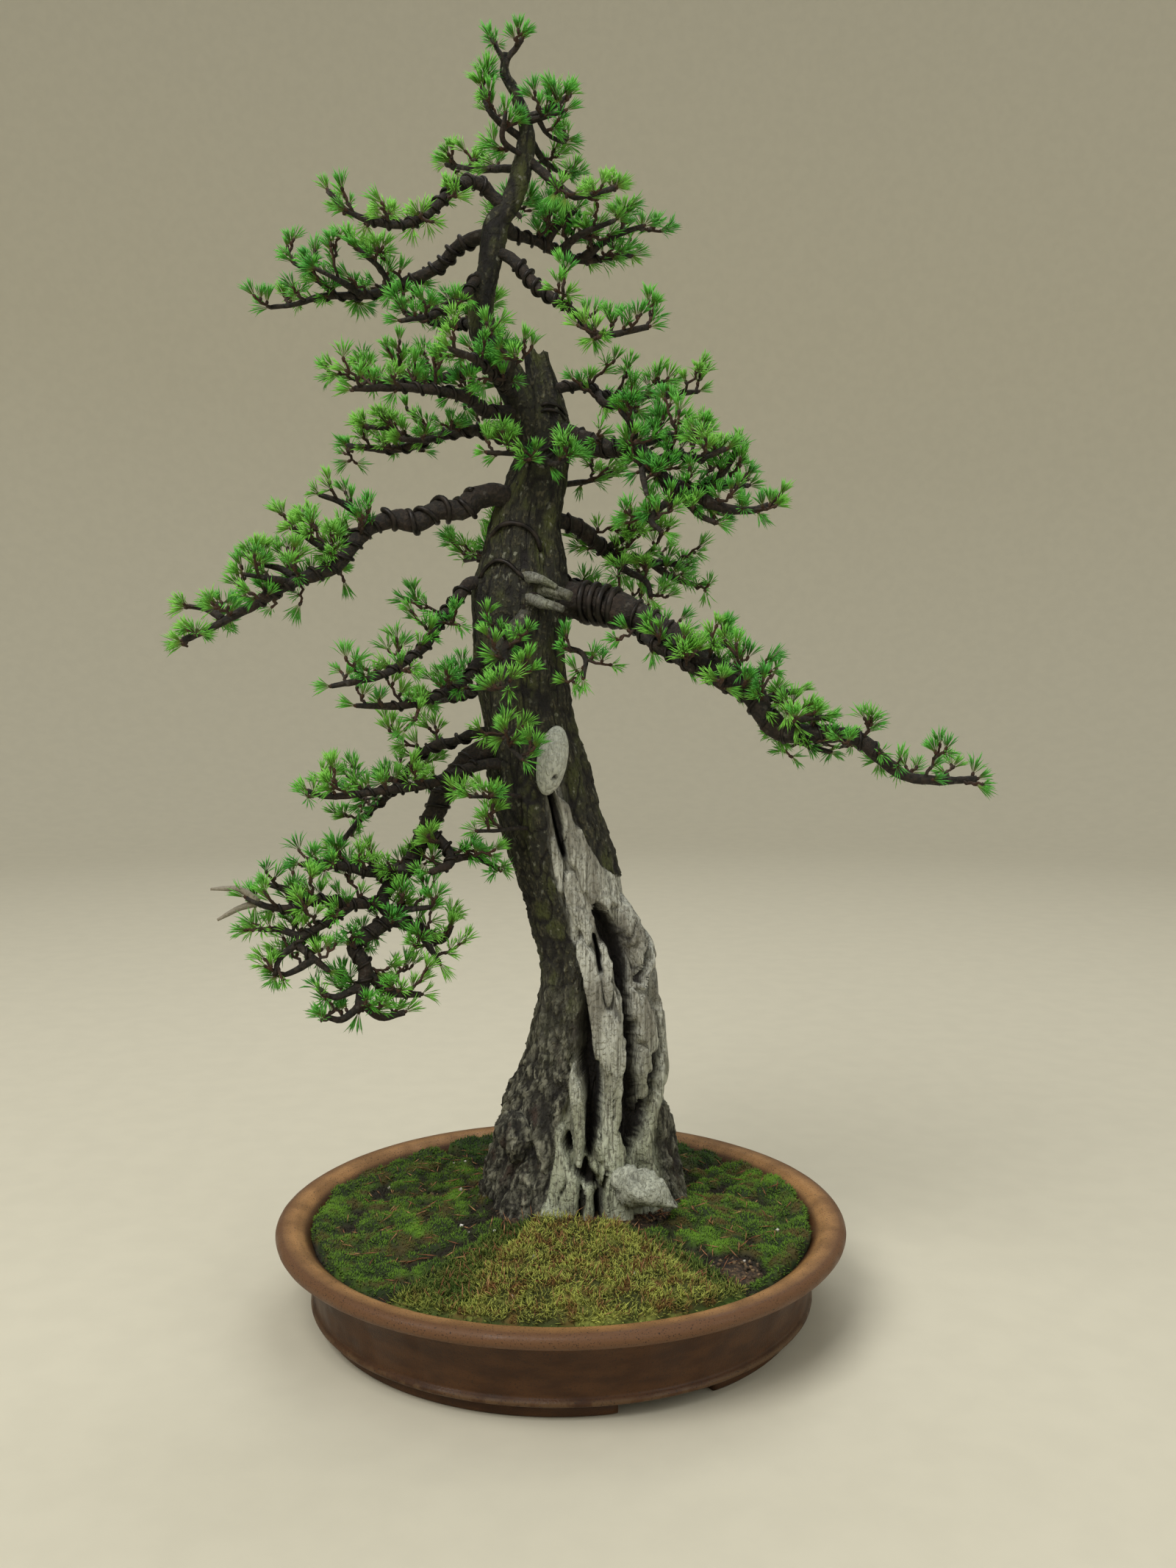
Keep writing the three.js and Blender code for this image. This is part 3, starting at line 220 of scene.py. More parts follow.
# Branches, from the top down: radius at the trunk and at the tip, bare length at the trunk, length of a twig,
# route, the wire coiled round it as (start, end, pitch, wire radius), and forks, each given in the same way.
# One whose bare length is DEAD has no leaves.
DEAD = 99
Coil = namedtuple("Coil", "start end pitch radius")
Branch = namedtuple("Branch", "thick tip bare twig route coil forks", defaults=(None, ()))
BRANCHES = {
    "top_left": Branch(2, 1.4, 2, 8, [(-36, -14, 808), (-40, -14, 815), (-43, -14, 820)]),
    "top_right": Branch(2, 1.4, 2, 8, [(-33, -14, 809), (-28, -14, 815), (-24, -15, 820)]),
    "apex_left": Branch(2.6, 1.5, 6, 9, [(-27, -11, 763), (-38, -18, 768), (-45, -22, 775),
        (-49, -22, 787)], forks=[
        (2, 1.3, 4, 10, [(-25, -14, 750), (-36, -24, 755), (-34, -32, 768)]),
    ]),
    "apex_right": Branch(2.6, 1.5, 8, 11, [(-20, -11, 774), (-8, -6, 781), (6, 2, 793)], forks=[
        (2.2, 1.4, 3, 11, [(-19, -11, 772), (-9, -18, 772), (3, -22, 774)]),
        (2, 1.4, 3, 9, [(-14, -14, 772), (-8, -10, 764), (2, -8, 760)]),
    ]),
    "crown_back_right": Branch(2.8, 1.4, 12, 8, [(-19, -8, 760), (-10, 10, 754), (5, 30, 752)]),
    "crown_back_left": Branch(3, 1.5, 12, 10, [(-30, -6, 744), (-55, 15, 751), (-76, 36, 761)]),
    "crown_right": Branch(3.4, 1.6, 22, 11, [(-20, -10, 747), (-12, -13, 740), (-2, -18, 730),
        (9, -22, 722), (22, -24, 723), (34, -26, 726)]),
    "crown_left": Branch(4.6, 1.6, 24, 15, [(-42, -10, 724), (-51, -14, 732), (-62, -20, 730),
        (-74, -28, 717), (-85, -36, 704), (-98, -44, 697), (-117, -50, 698), (-131, -52, 704),
        (-141, -50, 715)]),
    "crown_back": Branch(3, 1.5, 14, 11, [(-33, 0, 727), (-32, 30, 731), (-28, 62, 736)]),
    "upper_right_back": Branch(4.6, 1.8, 22, 19, [(-36, -4, 709), (-30, 5, 706), (-16, 13, 705),
        (-1, 20, 700), (13, 26, 697), (47, 31, 701)], forks=[
        (3, 1.5, 4, 15, [(-1, 20, 700), (12, 4, 706), (34, -6, 712)]),
        (3, 1.5, 4, 15, [(13, 26, 697), (34, 14, 708), (54, 10, 714)]),
        (2.6, 1.5, 4, 13, [(-10, 16, 703), (-2, 8, 712), (10, 4, 722)]),
    ]),
    "upper_right_front": Branch(4.4, 1.8, 60, 17, [(-38, -10, 690), (-25, -18, 679), (-15, -26, 665),
        (-1, -34, 654), (10, -40, 645), (24, -46, 631), (54, -50, 635)], coil=Coil(14, 58, 9, 1.4)),
    "upper_left": Branch(5, 1.6, 52, 15, [(-46, -5, 703), (-66, 5, 699), (-80, 13, 688), (-108, 22, 678),
        (-128, 28, 674), (-158, 32, 674), (-178, 34, 669),
        (-194, 34, 667)], coil=Coil(14, 50, 9, 1.4), forks=[
        (2.6, 1.4, 4, 15, [(-150, 31, 674), (-164, 26, 686), (-176, 22, 693)]),
        (2.6, 1.4, 4, 14, [(-132, 29, 674), (-144, 14, 679), (-158, 6, 684)]),
        (2.6, 1.4, 4, 14, [(-112, 24, 677), (-118, 12, 687), (-130, 4, 696)]),
    ]),
    "upper_left_front": Branch(3.6, 1.6, 22, 10, [(-52, -10, 676), (-63, -30, 656), (-78, -46, 643),
        (-97, -58, 636)]),
    "upper_back": Branch(3.6, 1.6, 24, 8, [(-48, 0, 668), (-57, 40, 663), (-66, 80, 668)]),
    "upper_left_back": Branch(3.6, 1.6, 30, 8, [(-56, 2, 648), (-80, 26, 656), (-106, 46, 667)]),
    "shoulder_left": Branch(4, 1.7, 16, 17, [(-47, 3, 624), (-80, 20, 618), (-116, 36, 619),
        (-140, 43, 622)]),
    "shoulder_front": Branch(3.8, 1.7, 10, 17, [(-30, -10, 602), (-40, -36, 606), (-50, -58, 612),
        (-66, -74, 616)], forks=[
        (2.8, 1.4, 4, 12, [(-34, -26, 604), (-30, -44, 610), (-28, -60, 613)]),
        (2.6, 1.4, 4, 12, [(-20, -18, 566), (-32, -34, 561), (-46, -42, 560)]),
        (2.4, 1.3, 4, 11, [(-14, -18, 562), (-4, -36, 554), (6, -44, 557)]),
    ]),
    "shoulder_right": Branch(3.8, 1.6, 16, 18, [(-4, 0, 607), (15, 10, 611), (32, 18, 606), (51, 24, 608),
        (65, 28, 609), (92, 30, 612)], forks=[
        (3, 1.5, 4, 15, [(24, 14, 608), (28, 2, 599), (48, -6, 592)]),
    ]),
    "middle_back": Branch(4.2, 1.7, 24, 18, [(-12, 14, 588), (-22, 52, 592), (-38, 92, 598)]),
    "middle_left_high": Branch(5.4, 1.8, 18, 17, [(-30, -4, 592), (-48, -12, 590), (-60, -22, 598),
        (-92, -38, 600), (-127, -46, 598)]),
    "middle_left_low": Branch(5.4, 1.8, 18, 17, [(-32, 2, 576), (-58, 12, 583), (-80, 22, 581),
        (-110, 34, 574), (-144, 38, 577)], forks=[
        (2.8, 1.5, 4, 14, [(-74, 19, 581), (-88, 8, 576), (-104, 2, 575)]),
        (2.6, 1.5, 4, 13, [(-96, 29, 577), (-112, 20, 584), (-128, 16, 586)]),
    ]),
    "middle_right": Branch(7.5, 2, 24, 20, [(1, -4, 579), (23, -16, 568), (46, -26, 565), (59, -32, 553),
        (70, -36, 539), (84, -42, 534), (100, -46, 526), (118, -48, 524), (129, -50, 527)], forks=[
        (3.2, 1.6, 4, 15, [(44, -24, 565), (46, -34, 576), (37, -40, 586)]),
        (3.4, 1.6, 6, 16, [(46, -26, 566), (67, -16, 575), (82, -10, 574), (94, -6, 577)]),
        (3.6, 1.6, 6, 17, [(59, -32, 555), (72, -40, 559), (86, -48, 556), (102, -52, 561)]),
        (3.6, 1.6, 8, 14, [(70, -34, 542), (85, -28, 540), (100, -24, 542), (120, -20, 543)]),
        (3, 1.5, 4, 14, [(91, -32, 540), (102, -34, 549), (111, -38, 562)]),
        (2.8, 1.5, 6, 12, [(52, -30, 558), (51, -44, 546), (53, -52, 533)]),
        (3, 1.6, 8, 12, [(70, -38, 533), (56, -50, 519), (62, -56, 510)]),
        (2.6, 1.5, 6, 12, [(76, -38, 534), (86, -44, 522), (96, -50, 516)]),
    ]),
    "twig_right": Branch(2.4, 1.4, 8, 13, [(3, 6, 547), (18, 20, 551), (34, 31, 556)]),
    "left_long": Branch(8, 2, 88, 19, [(-38, -8, 538), (-52, -13, 536), (-64, -18, 527), (-78, -24, 527),
        (-92, -31, 518), (-106, -36, 520), (-121, -42, 513), (-130, -48, 501), (-139, -52, 489),
        (-163, -60, 479), (-187, -64, 465), (-212, -66, 451),
        (-230, -66, 443)], coil=Coil(18, 84, 13, 1.8), forks=[
        (3, 1.5, 8, 14, [(-119, -41, 515), (-133, -46, 527), (-149, -50, 533)]),
        (2.8, 1.5, 4, 15, [(-138, -52, 490), (-148, -46, 502), (-160, -42, 509)]),
        (2.8, 1.5, 4, 14, [(-160, -59, 480), (-172, -54, 487), (-184, -50, 490)]),
        (2.8, 1.5, 4, 14, [(-136, -51, 494), (-150, -62, 502), (-160, -68, 510)]),
        (2.8, 1.5, 4, 14, [(-166, -60, 478), (-176, -70, 480), (-190, -76, 482)]),
        (2.6, 1.5, 4, 12, [(-206, -66, 456), (-216, -60, 462), (-228, -58, 464)]),
    ]),
    "right_high": Branch(6.5, 1.8, 22, 19, [(-4, 4, 523), (10, 12, 520), (24, 22, 511), (32, 30, 504),
        (57, 40, 500), (86, 48, 498)], forks=[
        (3.4, 1.6, 6, 15, [(29, 28, 505), (43, 26, 493), (57, 22, 485), (60, 16, 474)]),
        (2.6, 1.5, 6, 13, [(30, 28, 507), (48, 24, 517), (60, 18, 526)]),
        (3, 1.6, 4, 15, [(60, 42, 500), (76, 42, 489), (92, 42, 484)]),
    ]),
    "low_back": Branch(5, 1.8, 26, 19, [(-24, 22, 515), (-46, 66, 508), (-70, 108, 506)]),
    "right_back": Branch(5, 1.8, 26, 11, [(-8, 22, 488), (28, 58, 478), (64, 88, 470)]),
    "right_long": Branch(13, 2.2, 84, 19, [(0, 0, 470), (18, -8, 469), (41, -20, 463), (64, -32, 449),
        (86, -44, 431), (100, -50, 422), (117, -56, 411), (126, -60, 398), (138, -62, 387), (166, -66, 385),
        (184, -68, 382), (202, -70, 366), (216, -70, 359), (234, -70, 357),
        (256, -70, 358)], coil=Coil(14, 42, 7, 2.2), forks=[
        (4.5, 1.8, 6, 15, [(44, -22, 461), (56, -38, 443), (78, -54, 428), (100, -62, 414)]),
        (3, 1.6, 4, 14, [(84, -42, 433), (96, -36, 439), (106, -32, 441)]),
        (3, 1.6, 4, 14, [(104, -52, 420), (114, -62, 424), (128, -66, 424)]),
        (3, 1.6, 4, 14, [(122, -58, 404), (136, -50, 410), (150, -46, 412)]),
        (2.8, 1.6, 4, 14, [(134, -62, 390), (148, -70, 395), (162, -72, 396)]),
        (2.6, 1.5, 4, 13, [(142, -62, 386), (154, -56, 378), (168, -54, 374)]),
    ]),
    "left_front_high": Branch(5, 1.8, 24, 15, [(-56, -10, 482), (-70, -22, 466), (-77, -34, 455),
        (-85, -46, 440), (-99, -58, 428), (-112, -66, 421), (-139, -75, 415)]),
    "front": Branch(3.4, 1.6, 14, 14, [(-30, -20, 449), (-35, -50, 436), (-32, -76, 414)]),
    "twig_right_low": Branch(2.4, 1.4, 8, 12, [(1, -6, 440), (15, -22, 434), (14, -36, 420)]),
    "left_front_low": Branch(4.4, 1.7, 20, 16, [(-52, -10, 431), (-62, -28, 418), (-92, -50, 404),
        (-126, -62, 403)]),
    "lower_back": Branch(5, 1.8, 28, 19, [(-36, 26, 424), (-64, 68, 410), (-95, 106, 402)]),
    "front_low": Branch(2.8, 1.5, 8, 13, [(-30, -20, 386), (-34, -48, 380), (-24, -66, 370)]),
    "low_left_back": Branch(4.6, 1.7, 30, 17, [(-52, 10, 384), (-71, 19, 378), (-90, 28, 372),
        (-102, 34, 361), (-119, 42, 340), (-140, 48, 322), (-157, 52, 301)]),
    "low_left_front": Branch(4.4, 1.7, 28, 14, [(-50, -14, 364), (-87, -30, 352), (-123, -44, 348),
        (-146, -50, 346), (-158, -54, 350)]),
    "lowest_left": Branch(9.5, 4, 84, 14, [(-50, 0, 372), (-74, -8, 349), (-84, -12, 330), (-92, -14, 314),
        (-100, -16, 296), (-113, -22, 284), (-115, -28, 274), (-108, -30, 266)], forks=[
        (4.4, 2.2, 6, 14, [(-87, -14, 321), (-74, -22, 310), (-72, -28, 301), (-84, -34, 296)]),
        (3, 1.6, 4, 14, [(-74, -26, 303), (-58, -20, 304), (-42, -18, 297)]),
        (4.6, 2, 12, 15, [(-99, -18, 295), (-121, -28, 295), (-137, -38, 300), (-151, -44, 303),
            (-164, -48, 303)]),
        (4.2, 1.8, 8, 16, [(-113, -28, 275), (-134, -42, 277), (-154, -50, 281), (-167, -54, 276),
            (-183, -58, 278), (-196, -60, 284)]),
        (3, 1.6, 4, 13, [(-163, -52, 277), (-173, -46, 286), (-184, -46, 290)]),
        (3.8, 1.8, 6, 15, [(-134, -42, 276), (-149, -52, 266), (-164, -58, 256), (-154, -62, 246),
            (-146, -60, 238)]),
        (3, 1.6, 4, 14, [(-163, -58, 256), (-175, -62, 247), (-178, -64, 236)]),
        (5.4, 3.4, 8, 15, [(-108, -30, 266), (-132, -42, 250), (-124, -48, 238), (-128, -52, 210)]),
        (3.6, 1.8, 4, 15, [(-124, -48, 236), (-110, -44, 221), (-90, -40, 218)]),
        (3.2, 1.8, 4, 15, [(-126, -50, 226), (-143, -56, 220), (-152, -58, 226)]),
        (3, 1.8, 4, 14, [(-127, -52, 216), (-114, -50, 206), (-100, -46, 208)]),
        (3, 1.8, 4, 14, [(-127, -52, 214), (-138, -56, 206), (-148, -58, 208)]),
        (3, 1.7, 4, 15, [(-160, -56, 257), (-176, -52, 262), (-190, -50, 262)]),
        (3, 1.7, 4, 15, [(-154, -62, 246), (-166, -60, 238), (-176, -58, 234)]),
        (3, 1.7, 4, 14, [(-92, -25, 256), (-84, -34, 246), (-78, -40, 238)]),
        (5, 2.2, 8, 15, [(-108, -30, 266), (-91, -24, 256), (-79, -18, 249), (-72, -16, 259)]),
        (3, 1.6, 4, 15, [(-115, -28, 271), (-98, -34, 272), (-84, -38, 274)]),
        (2.8, 0.9, DEAD, 0, [(-189, -58, 281), (-199, -60, 289), (-207, -62, 290), (-217, -64, 290)]),
        (2.6, 0.9, DEAD, 0, [(-189, -56, 281), (-203, -58, 276), (-214, -60, 270)]),
    ]),
    "twig_front_high": Branch(1.8, 1.2, 12, 10, [(-28, -20, 344), (-42, -38, 345), (-57, -52, 346)]),
    "twig_front_low": Branch(1.8, 1.2, 12, 10, [(-26, -20, 323), (-40, -36, 323), (-53, -48, 324)]),
}

# Moss on the soil: bearings in degrees, inner reach from the axis, and thickness at the middle
Moss = namedtuple("Moss", "turns inner thick")
MOSSES = {
    "moss_mound": Moss((-126, -48), 46, 15),
    "moss_right": Moss((-45, 38), 68, 8),
    "moss_back": Moss((42, 122), 58, 7),
    "moss_left": Moss((126, 228), 50, 9),
}

# Camera of the photograph: its place, how far it looks down and turns right, and its focal length in pixels
CAMERA_PLACE = (0, -938, 419)
CAMERA_DOWN = 4.2
CAMERA_RIGHT = 1.08
FOCAL_PIXELS = 1930
FRAME_HEIGHT_PIXELS = 2133
SENSOR = 36


def to_metres(points):
    """Millimetres from the pot's axis to metres in the model's frame, moved by the axis's place."""
    return points * MM + POT_AXIS


def linear(code):
    """An sRGB hex colour as linear light: ((c + 0.055) / 1.055) to the power 2.4, or c / 12.92 where dark."""
    channels = [int(code[i:i + 2], 16) / 255 for i in (1, 3, 5)]
    return tuple(c / 12.92 if c <= 0.04045 else ((c + 0.055) / 1.055) ** 2.4 for c in channels)


def vectors(*coordinates):
    """Vectors with those coordinates, each a number or an array."""
    return np.stack(np.broadcast_arrays(*coordinates), axis=-1)


# Noise

PRIMES = np.array([73856093, 19349663, 83492791])
WORD = 0xFFFFFFFF


def scatter(corners, seed):
    """A number from 0 to 1 for each whole-numbered corner, the same every time: each coordinate times its
    prime, crossed bit by bit, then shifted, crossed and multiplied twice more, and cut to 32 bits."""
    mixed = np.bitwise_xor.reduce(corners.astype(np.int64) * PRIMES[:corners.shape[-1]], axis=-1)
    mixed = (mixed ^ (seed * 668265263)) & WORD
    for shift in (15, 13):
        mixed = ((mixed ^ (mixed >> shift)) * 73244475) & WORD
    return (mixed ^ (mixed >> 16)) / WORD


def noise(points, size, seed=0):
    """Smooth noise from -1 to 1: every corner of a lattice of that size has a random value, and a point
    blends those of the corners round it along each axis by 3t² - 2t³."""
    place = points / size
    corner = np.floor(place)
    share = ease(place - corner)
    total = np.zeros(points.shape[:-1])
    for step in product((0, 1), repeat=points.shape[-1]):
        weight = np.prod(np.where(np.array(step) == 1, share, 1 - share), axis=-1)
        total += weight * scatter(corner + step, seed)
    return 2 * total - 1


def rough(points, size, seed=0, layers=3):
    """Noise in layers, each with half the size and half the height of the one before."""
    size = np.asarray(size, float)
    return sum(noise(points, size / 2 ** k, seed + k) / 2 ** k for k in range(layers))


def cells(points, size, seed=0):
    """Irregular cells: (distance to the nearest middle, to the next, the nearest cell's random tone), in cell
    sizes. Each cell of a lattice has its middle at a random place, and a point looks at those round it."""
    place = points / size
    home = np.floor(place)
    first = np.full(points.shape[:-1], 9.0)
    second = first.copy()
    tone = np.zeros(points.shape[:-1])
    axes = points.shape[-1]
    for step in product((-1, 0, 1), repeat=axes):
        cell = home + step
        middle = cell + vectors(*(scatter(cell, seed + 11 * k) for k in range(axes)))
        away = np.linalg.norm(place - middle, axis=-1)
        nearer = away < first
        second = np.where(nearer, first, np.minimum(second, away))
        tone = np.where(nearer, scatter(cell, seed + 77), tone)
        first = np.where(nearer, away, first)
    return first, second, tone


def ease(share):
    """0 below 0, 1 above 1, and 3t² - 2t³ between."""
    share = np.clip(share, 0, 1)
    return share * share * (3 - 2 * share)


# Skins: points in millimetres, faces of four corners (or three, then -1), and values for each point

Skin = namedtuple("Skin", "points faces values")


def grid_faces(rows, columns, closed):
    """Quads between neighbours on a grid of points, row by row; a closed grid joins its last column to its
    first. They face outwards where the columns run anticlockwise seen from the last row."""
    bands = columns if closed else columns - 1
    row, column = np.meshgrid(np.arange(rows - 1), np.arange(bands), indexing="ij")
    here = row * columns + column
    beside = row * columns + (column + 1) % columns
    return vectors(here, beside, beside + columns, here + columns).reshape(-1, 4)


def triangles(corners):
    """Faces of three corners."""
    return np.pad(np.array(corners), ((0, 0), (0, 1)), constant_values=-1)


def repeated(faces, count, points):
    """The faces of many skins alike, each with that many points of its own."""
    return np.where(faces < 0, -1, faces + points * np.arange(count)[:, None, None]).reshape(-1, 4)


def tube_faces(rows, columns):
    """The faces of a closed tube: bands between its rings, and a fan over a pole at each end. The two poles
    come after the rings' points."""
    here = np.arange(columns)
    beside = (here + 1) % columns
    last, pole = (rows - 1) * columns, np.full(columns, rows * columns)
    fans = [vectors(beside, here, pole), vectors(here + last, beside + last, pole + 1)]
    return np.concatenate([grid_faces(rows, columns, True), triangles(np.concatenate(fans))])


def tube_skins(rings, values=None):
    """Closed skins of many tubes alike. `rings` has the axes tube, ring, corner and place; each pole lies at
    the middle of its ring. A value has one number for each ring or for each corner."""
    tubes, rows, columns, _ = rings.shape
    poles = np.stack([rings[:, 0].mean(axis=1), rings[:, -1].mean(axis=1)], axis=1)
    points = np.concatenate([rings.reshape(tubes, -1, 3), poles], axis=1)
    spread = {}
    for name, value in (values or {}).items():
        value = np.broadcast_to(value[..., None] if value.ndim == 2 else value, (tubes, rows, columns))
        ends = np.stack([value[:, 0].mean(axis=1), value[:, -1].mean(axis=1)], axis=1)
        spread[name] = np.concatenate([value.reshape(tubes, -1), ends], axis=1).ravel()
    return Skin(points.reshape(-1, 3), repeated(tube_faces(rows, columns), tubes, points.shape[1]), spread)


def tube_skin(rings, values=None):
    """The closed skin of one tube."""
    return tube_skins(rings[None], {name: value[None] for name, value in (values or {}).items()})


def joined(skins):
    """One skin of several, with each skin's faces counted on from the points before it."""
    starts = np.cumsum([0] + [len(skin.points) for skin in skins[:-1]])
    faces = [np.where(skin.faces < 0, -1, skin.faces + start) for skin, start in zip(skins, starts)]
    names = {name for skin in skins for name in skin.values}
    values = {
        name: np.concatenate([skin.values.get(name, np.zeros(len(skin.points))) for skin in skins])
        for name in names
    }
    return Skin(np.concatenate([skin.points for skin in skins]), np.concatenate(faces), values)


def slab(top, bottom, values=None):
    """A closed skin between two open grids of the same layout, with a rim round their four edges."""
    rows, columns, _ = top.shape
    upper = grid_faces(rows, columns, False)
    lower = upper[:, ::-1] + rows * columns
    index = np.arange(rows * columns).reshape(rows, columns)
    edge = np.concatenate([index[0, :-1], index[:-1, -1], index[-1, :0:-1], index[:0:-1, 0]])
    after = np.roll(edge, -1)
    rim = vectors(after, edge, edge + rows * columns, after + rows * columns)
    points = np.concatenate([top.reshape(-1, 3), bottom.reshape(-1, 3)])
    spread = {name: np.concatenate([value.ravel(), value.ravel()]) for name, value in (values or {}).items()}
    return Skin(points, np.concatenate([upper, lower, rim]), spread)


def make_piece(name, parts, replaced=()):
    """An object of skins, each with its material. It rides on the body and may stand for nodes."""
    skin = joined([part for part, _ in parts])
    mesh = bpy.data.meshes.new(name)
    corners = np.where(skin.faces[:, 3] < 0, 3, 4)
    mesh.vertices.add(len(skin.points))
    mesh.vertices.foreach_set("co", to_metres(skin.points).ravel())
    mesh.loops.add(int(corners.sum()))
    mesh.loops.foreach_set("vertex_index", skin.faces[skin.faces >= 0])
    mesh.polygons.add(len(skin.faces))
    mesh.polygons.foreach_set("loop_start", np.cumsum(corners) - corners)
    materials = list(dict.fromkeys(material for _, material in parts))
    numbers = [materials.index(material) for _, material in parts]
    mesh.polygons.foreach_set("material_index", np.repeat(numbers, [len(part.faces) for part, _ in parts]))
    for label, value in skin.values.items():
        mesh.attributes.new(label, "FLOAT", "POINT").data.foreach_set("value", value.astype(np.float32))
    mesh.update(calc_edges=True)
    mesh.shade_smooth()
    for material in materials:
        mesh.materials.append(material)
    made = bpy.data.objects.new(name, mesh)
    bpy.context.scene.collection.objects.link(made)
    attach(made, "root")
    if replaced:
        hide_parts(*replaced)
    return made


# Paths

def smooth_route(points, pitch):
    """A route through points, in even steps of about `pitch`. Between two points it is the cubic whose slope
    at each is half the way from the point before to the point after, mirrored at the ends."""
    points = np.array(points, float)
    ends = np.concatenate([[2 * points[0] - points[1]], points, [2 * points[-1] - points[-2]]])
    slope = (ends[2:] - ends[:-2]) / 2
    share = np.linspace(0, 1, 24, endpoint=False)[:, None]
    square, cube = share ** 2, share ** 3
    curves = [
        (2 * cube - 3 * square + 1) * points[i] + (cube - 2 * square + share) * slope[i]
        + (3 * square - 2 * cube) * points[i + 1] + (cube - square) * slope[i + 1]
        for i in range(len(points) - 1)
    ]
    dense = np.concatenate(curves + [points[-1:]])
    lengths = lengths_along(dense)
    count = max(3, round(lengths[-1] / pitch) + 1)
    return at_lengths(dense, np.linspace(0, lengths[-1], count))


def lengths_along(path):
    """The length from a path's start to each of its points."""
    return np.concatenate([[0], np.cumsum(np.linalg.norm(np.diff(path, axis=0), axis=1))])


def at_lengths(path, lengths):
    """The places at those lengths along a path, in straight lines between its points."""
    known = lengths_along(path)
    return vectors(*(np.interp(lengths, known, path[:, k]) for k in range(3)))


def unit(ways):
    """Vectors of length 1."""
    return ways / np.maximum(np.linalg.norm(ways, axis=-1, keepdims=True), 1e-9)


def swung(side, across, turn):
    """side × cos turn + across × sin turn."""
    return side * np.cos(turn)[..., None] + across * np.sin(turn)[..., None]


def frames(paths, guide=None):
    """(side, across) at each point of many paths. `side` is square to the path and to one guide direction for
    the whole path: where none is given, the axis that the path runs along least."""
    along = unit(np.gradient(paths, axis=-2))
    if guide is None:
        overall = paths[..., -1, :] - paths[..., 0, :]
        guide = np.eye(3)[np.abs(overall).argmin(axis=-1)]
    side = unit(np.cross(along, np.broadcast_to(guide[..., None, :], along.shape)))
    return side, np.cross(along, side)


def rings_round(paths, radii, sides, guide=None):
    """Rings round paths, square to them: the place plus the radius times a way out, swung once round. The
    radius may differ from corner to corner."""
    side, across = frames(paths, guide)
    out = swung(side[..., None, :], across[..., None, :], whole_turn(sides))
    radii = radii[..., None] if radii.ndim < out.ndim - 1 else radii
    return paths[..., None, :] + out * radii[..., None]


def tubes(paths, radii, sides, values=None):
    """Closed round tubes along many paths of as many points."""
    return tube_skins(rings_round(paths, radii, sides), values)


def wire_skin(path, radius, sides, guide=None):
    """A closed round tube of one thickness."""
    return tube_skin(rings_round(path, np.full(len(path), radius), sides, guide))


def station_tube(stations, pitch, sides):
    """(path, rings) of a tube through stations, each given as (x, y, z, radius)."""
    path = smooth_route(stations[:, :3], pitch)
    radii = np.interp(lengths_along(path), lengths_along(stations[:, :3]), stations[:, 3])
    return path, rings_round(path, radii, sides)


def swollen(path, rings, share):
    """Rings with each corner farther from the path by its share of the way to it."""
    return path[:, None] + (rings - path[:, None]) * (1 + share)[..., None]


def curved(start, knee, end, count):
    """Points of a quadratic curve: (1 - t)² × start + 2t(1 - t) × knee + t² × end."""
    share = np.linspace(0, 1, count)[:, None]
    return (1 - share) ** 2 * start + 2 * share * (1 - share) * knee + share ** 2 * end


def rounded_profile(corners):
    """An outline of (radius, height) points from corners, each cut by a quadratic curve that starts and ends
    at its rounding from the corner."""
    corners = np.array(corners, float)
    points = []
    for i, (radius, height, rounding) in enumerate(corners):
        here = np.array([radius, height])
        if i in (0, len(corners) - 1) or rounding == 0:
            points.append(here[None])
            continue
        before, after = corners[i - 1, :2] - here, corners[i + 1, :2] - here
        reach = min(rounding, 0.45 * min(np.linalg.norm(before), np.linalg.norm(after)))
        points.append(curved(here + unit(before) * reach, here, here + unit(after) * reach, 4))
    return np.concatenate(points)


def finer(profile, pitch):
    """A profile's points in steps of at most `pitch`, keeping its corners."""
    pieces = []
    for start, end in zip(profile[:-1], profile[1:]):
        count = max(1, math.ceil(np.linalg.norm(end - start) / pitch))
        pieces.append(start + (end - start) * np.linspace(0, 1, count, endpoint=False)[:, None])
    return np.concatenate(pieces + [profile[-1:]])


def turned(profile, turns):
    """A profile of (radius, height) carried round the axis: (radius × cos, radius × sin, height)."""
    radius, height = profile[:, 0, None], profile[:, 1, None]
    return vectors(radius * np.cos(turns), radius * np.sin(turns), height + 0 * turns)


def whole_turn(count):
    """Even bearings round the axis, in radians."""
    return 2 * np.pi * np.arange(count) / count


# Pot

def pot_shell():
    """The pot's wall and floor: the rounded profile carried once round the axis. Its values say where the
    lip's flat top, its outer edge and the bead at the foot lie."""
    core = [(40, FLOOR_UNDER, 0)] + POT_PROFILE + [(40, FLOOR_TOP, 0)]
    profile = finer(rounded_profile(core), 7)
    turns = whole_turn(POT_SIDES)
    rings = turned(profile, turns)
    throwing = 0.12 * np.sin(profile[:, 1] * 2 * np.pi / 2.3)[:, None]
    uneven = 0.5 * noise(rings, 70, 3) + 0.12 * noise(rings, 9, 4) + throwing
    outer = ease((profile[:, 0] - 120) / 20)[:, None]
    rings += (uneven * outer)[..., None] * vectors(np.cos(turns), np.sin(turns), 0 * turns)
    radius, height = profile.T
    lip = ease((radius - LIP_TOP[0]) / 4) * ease((height - LIP_TOP[1]) / 4)
    edge = ease((radius - LIP_EDGE[0]) / 4) * ease((height - LIP_EDGE[1]) / 3)
    bead = ease((radius - BEAD[0]) / 2) * ease((BEAD[1] - height) / 2)
    return tube_skin(rings, {"lip": lip, "edge": edge, "bead": bead})


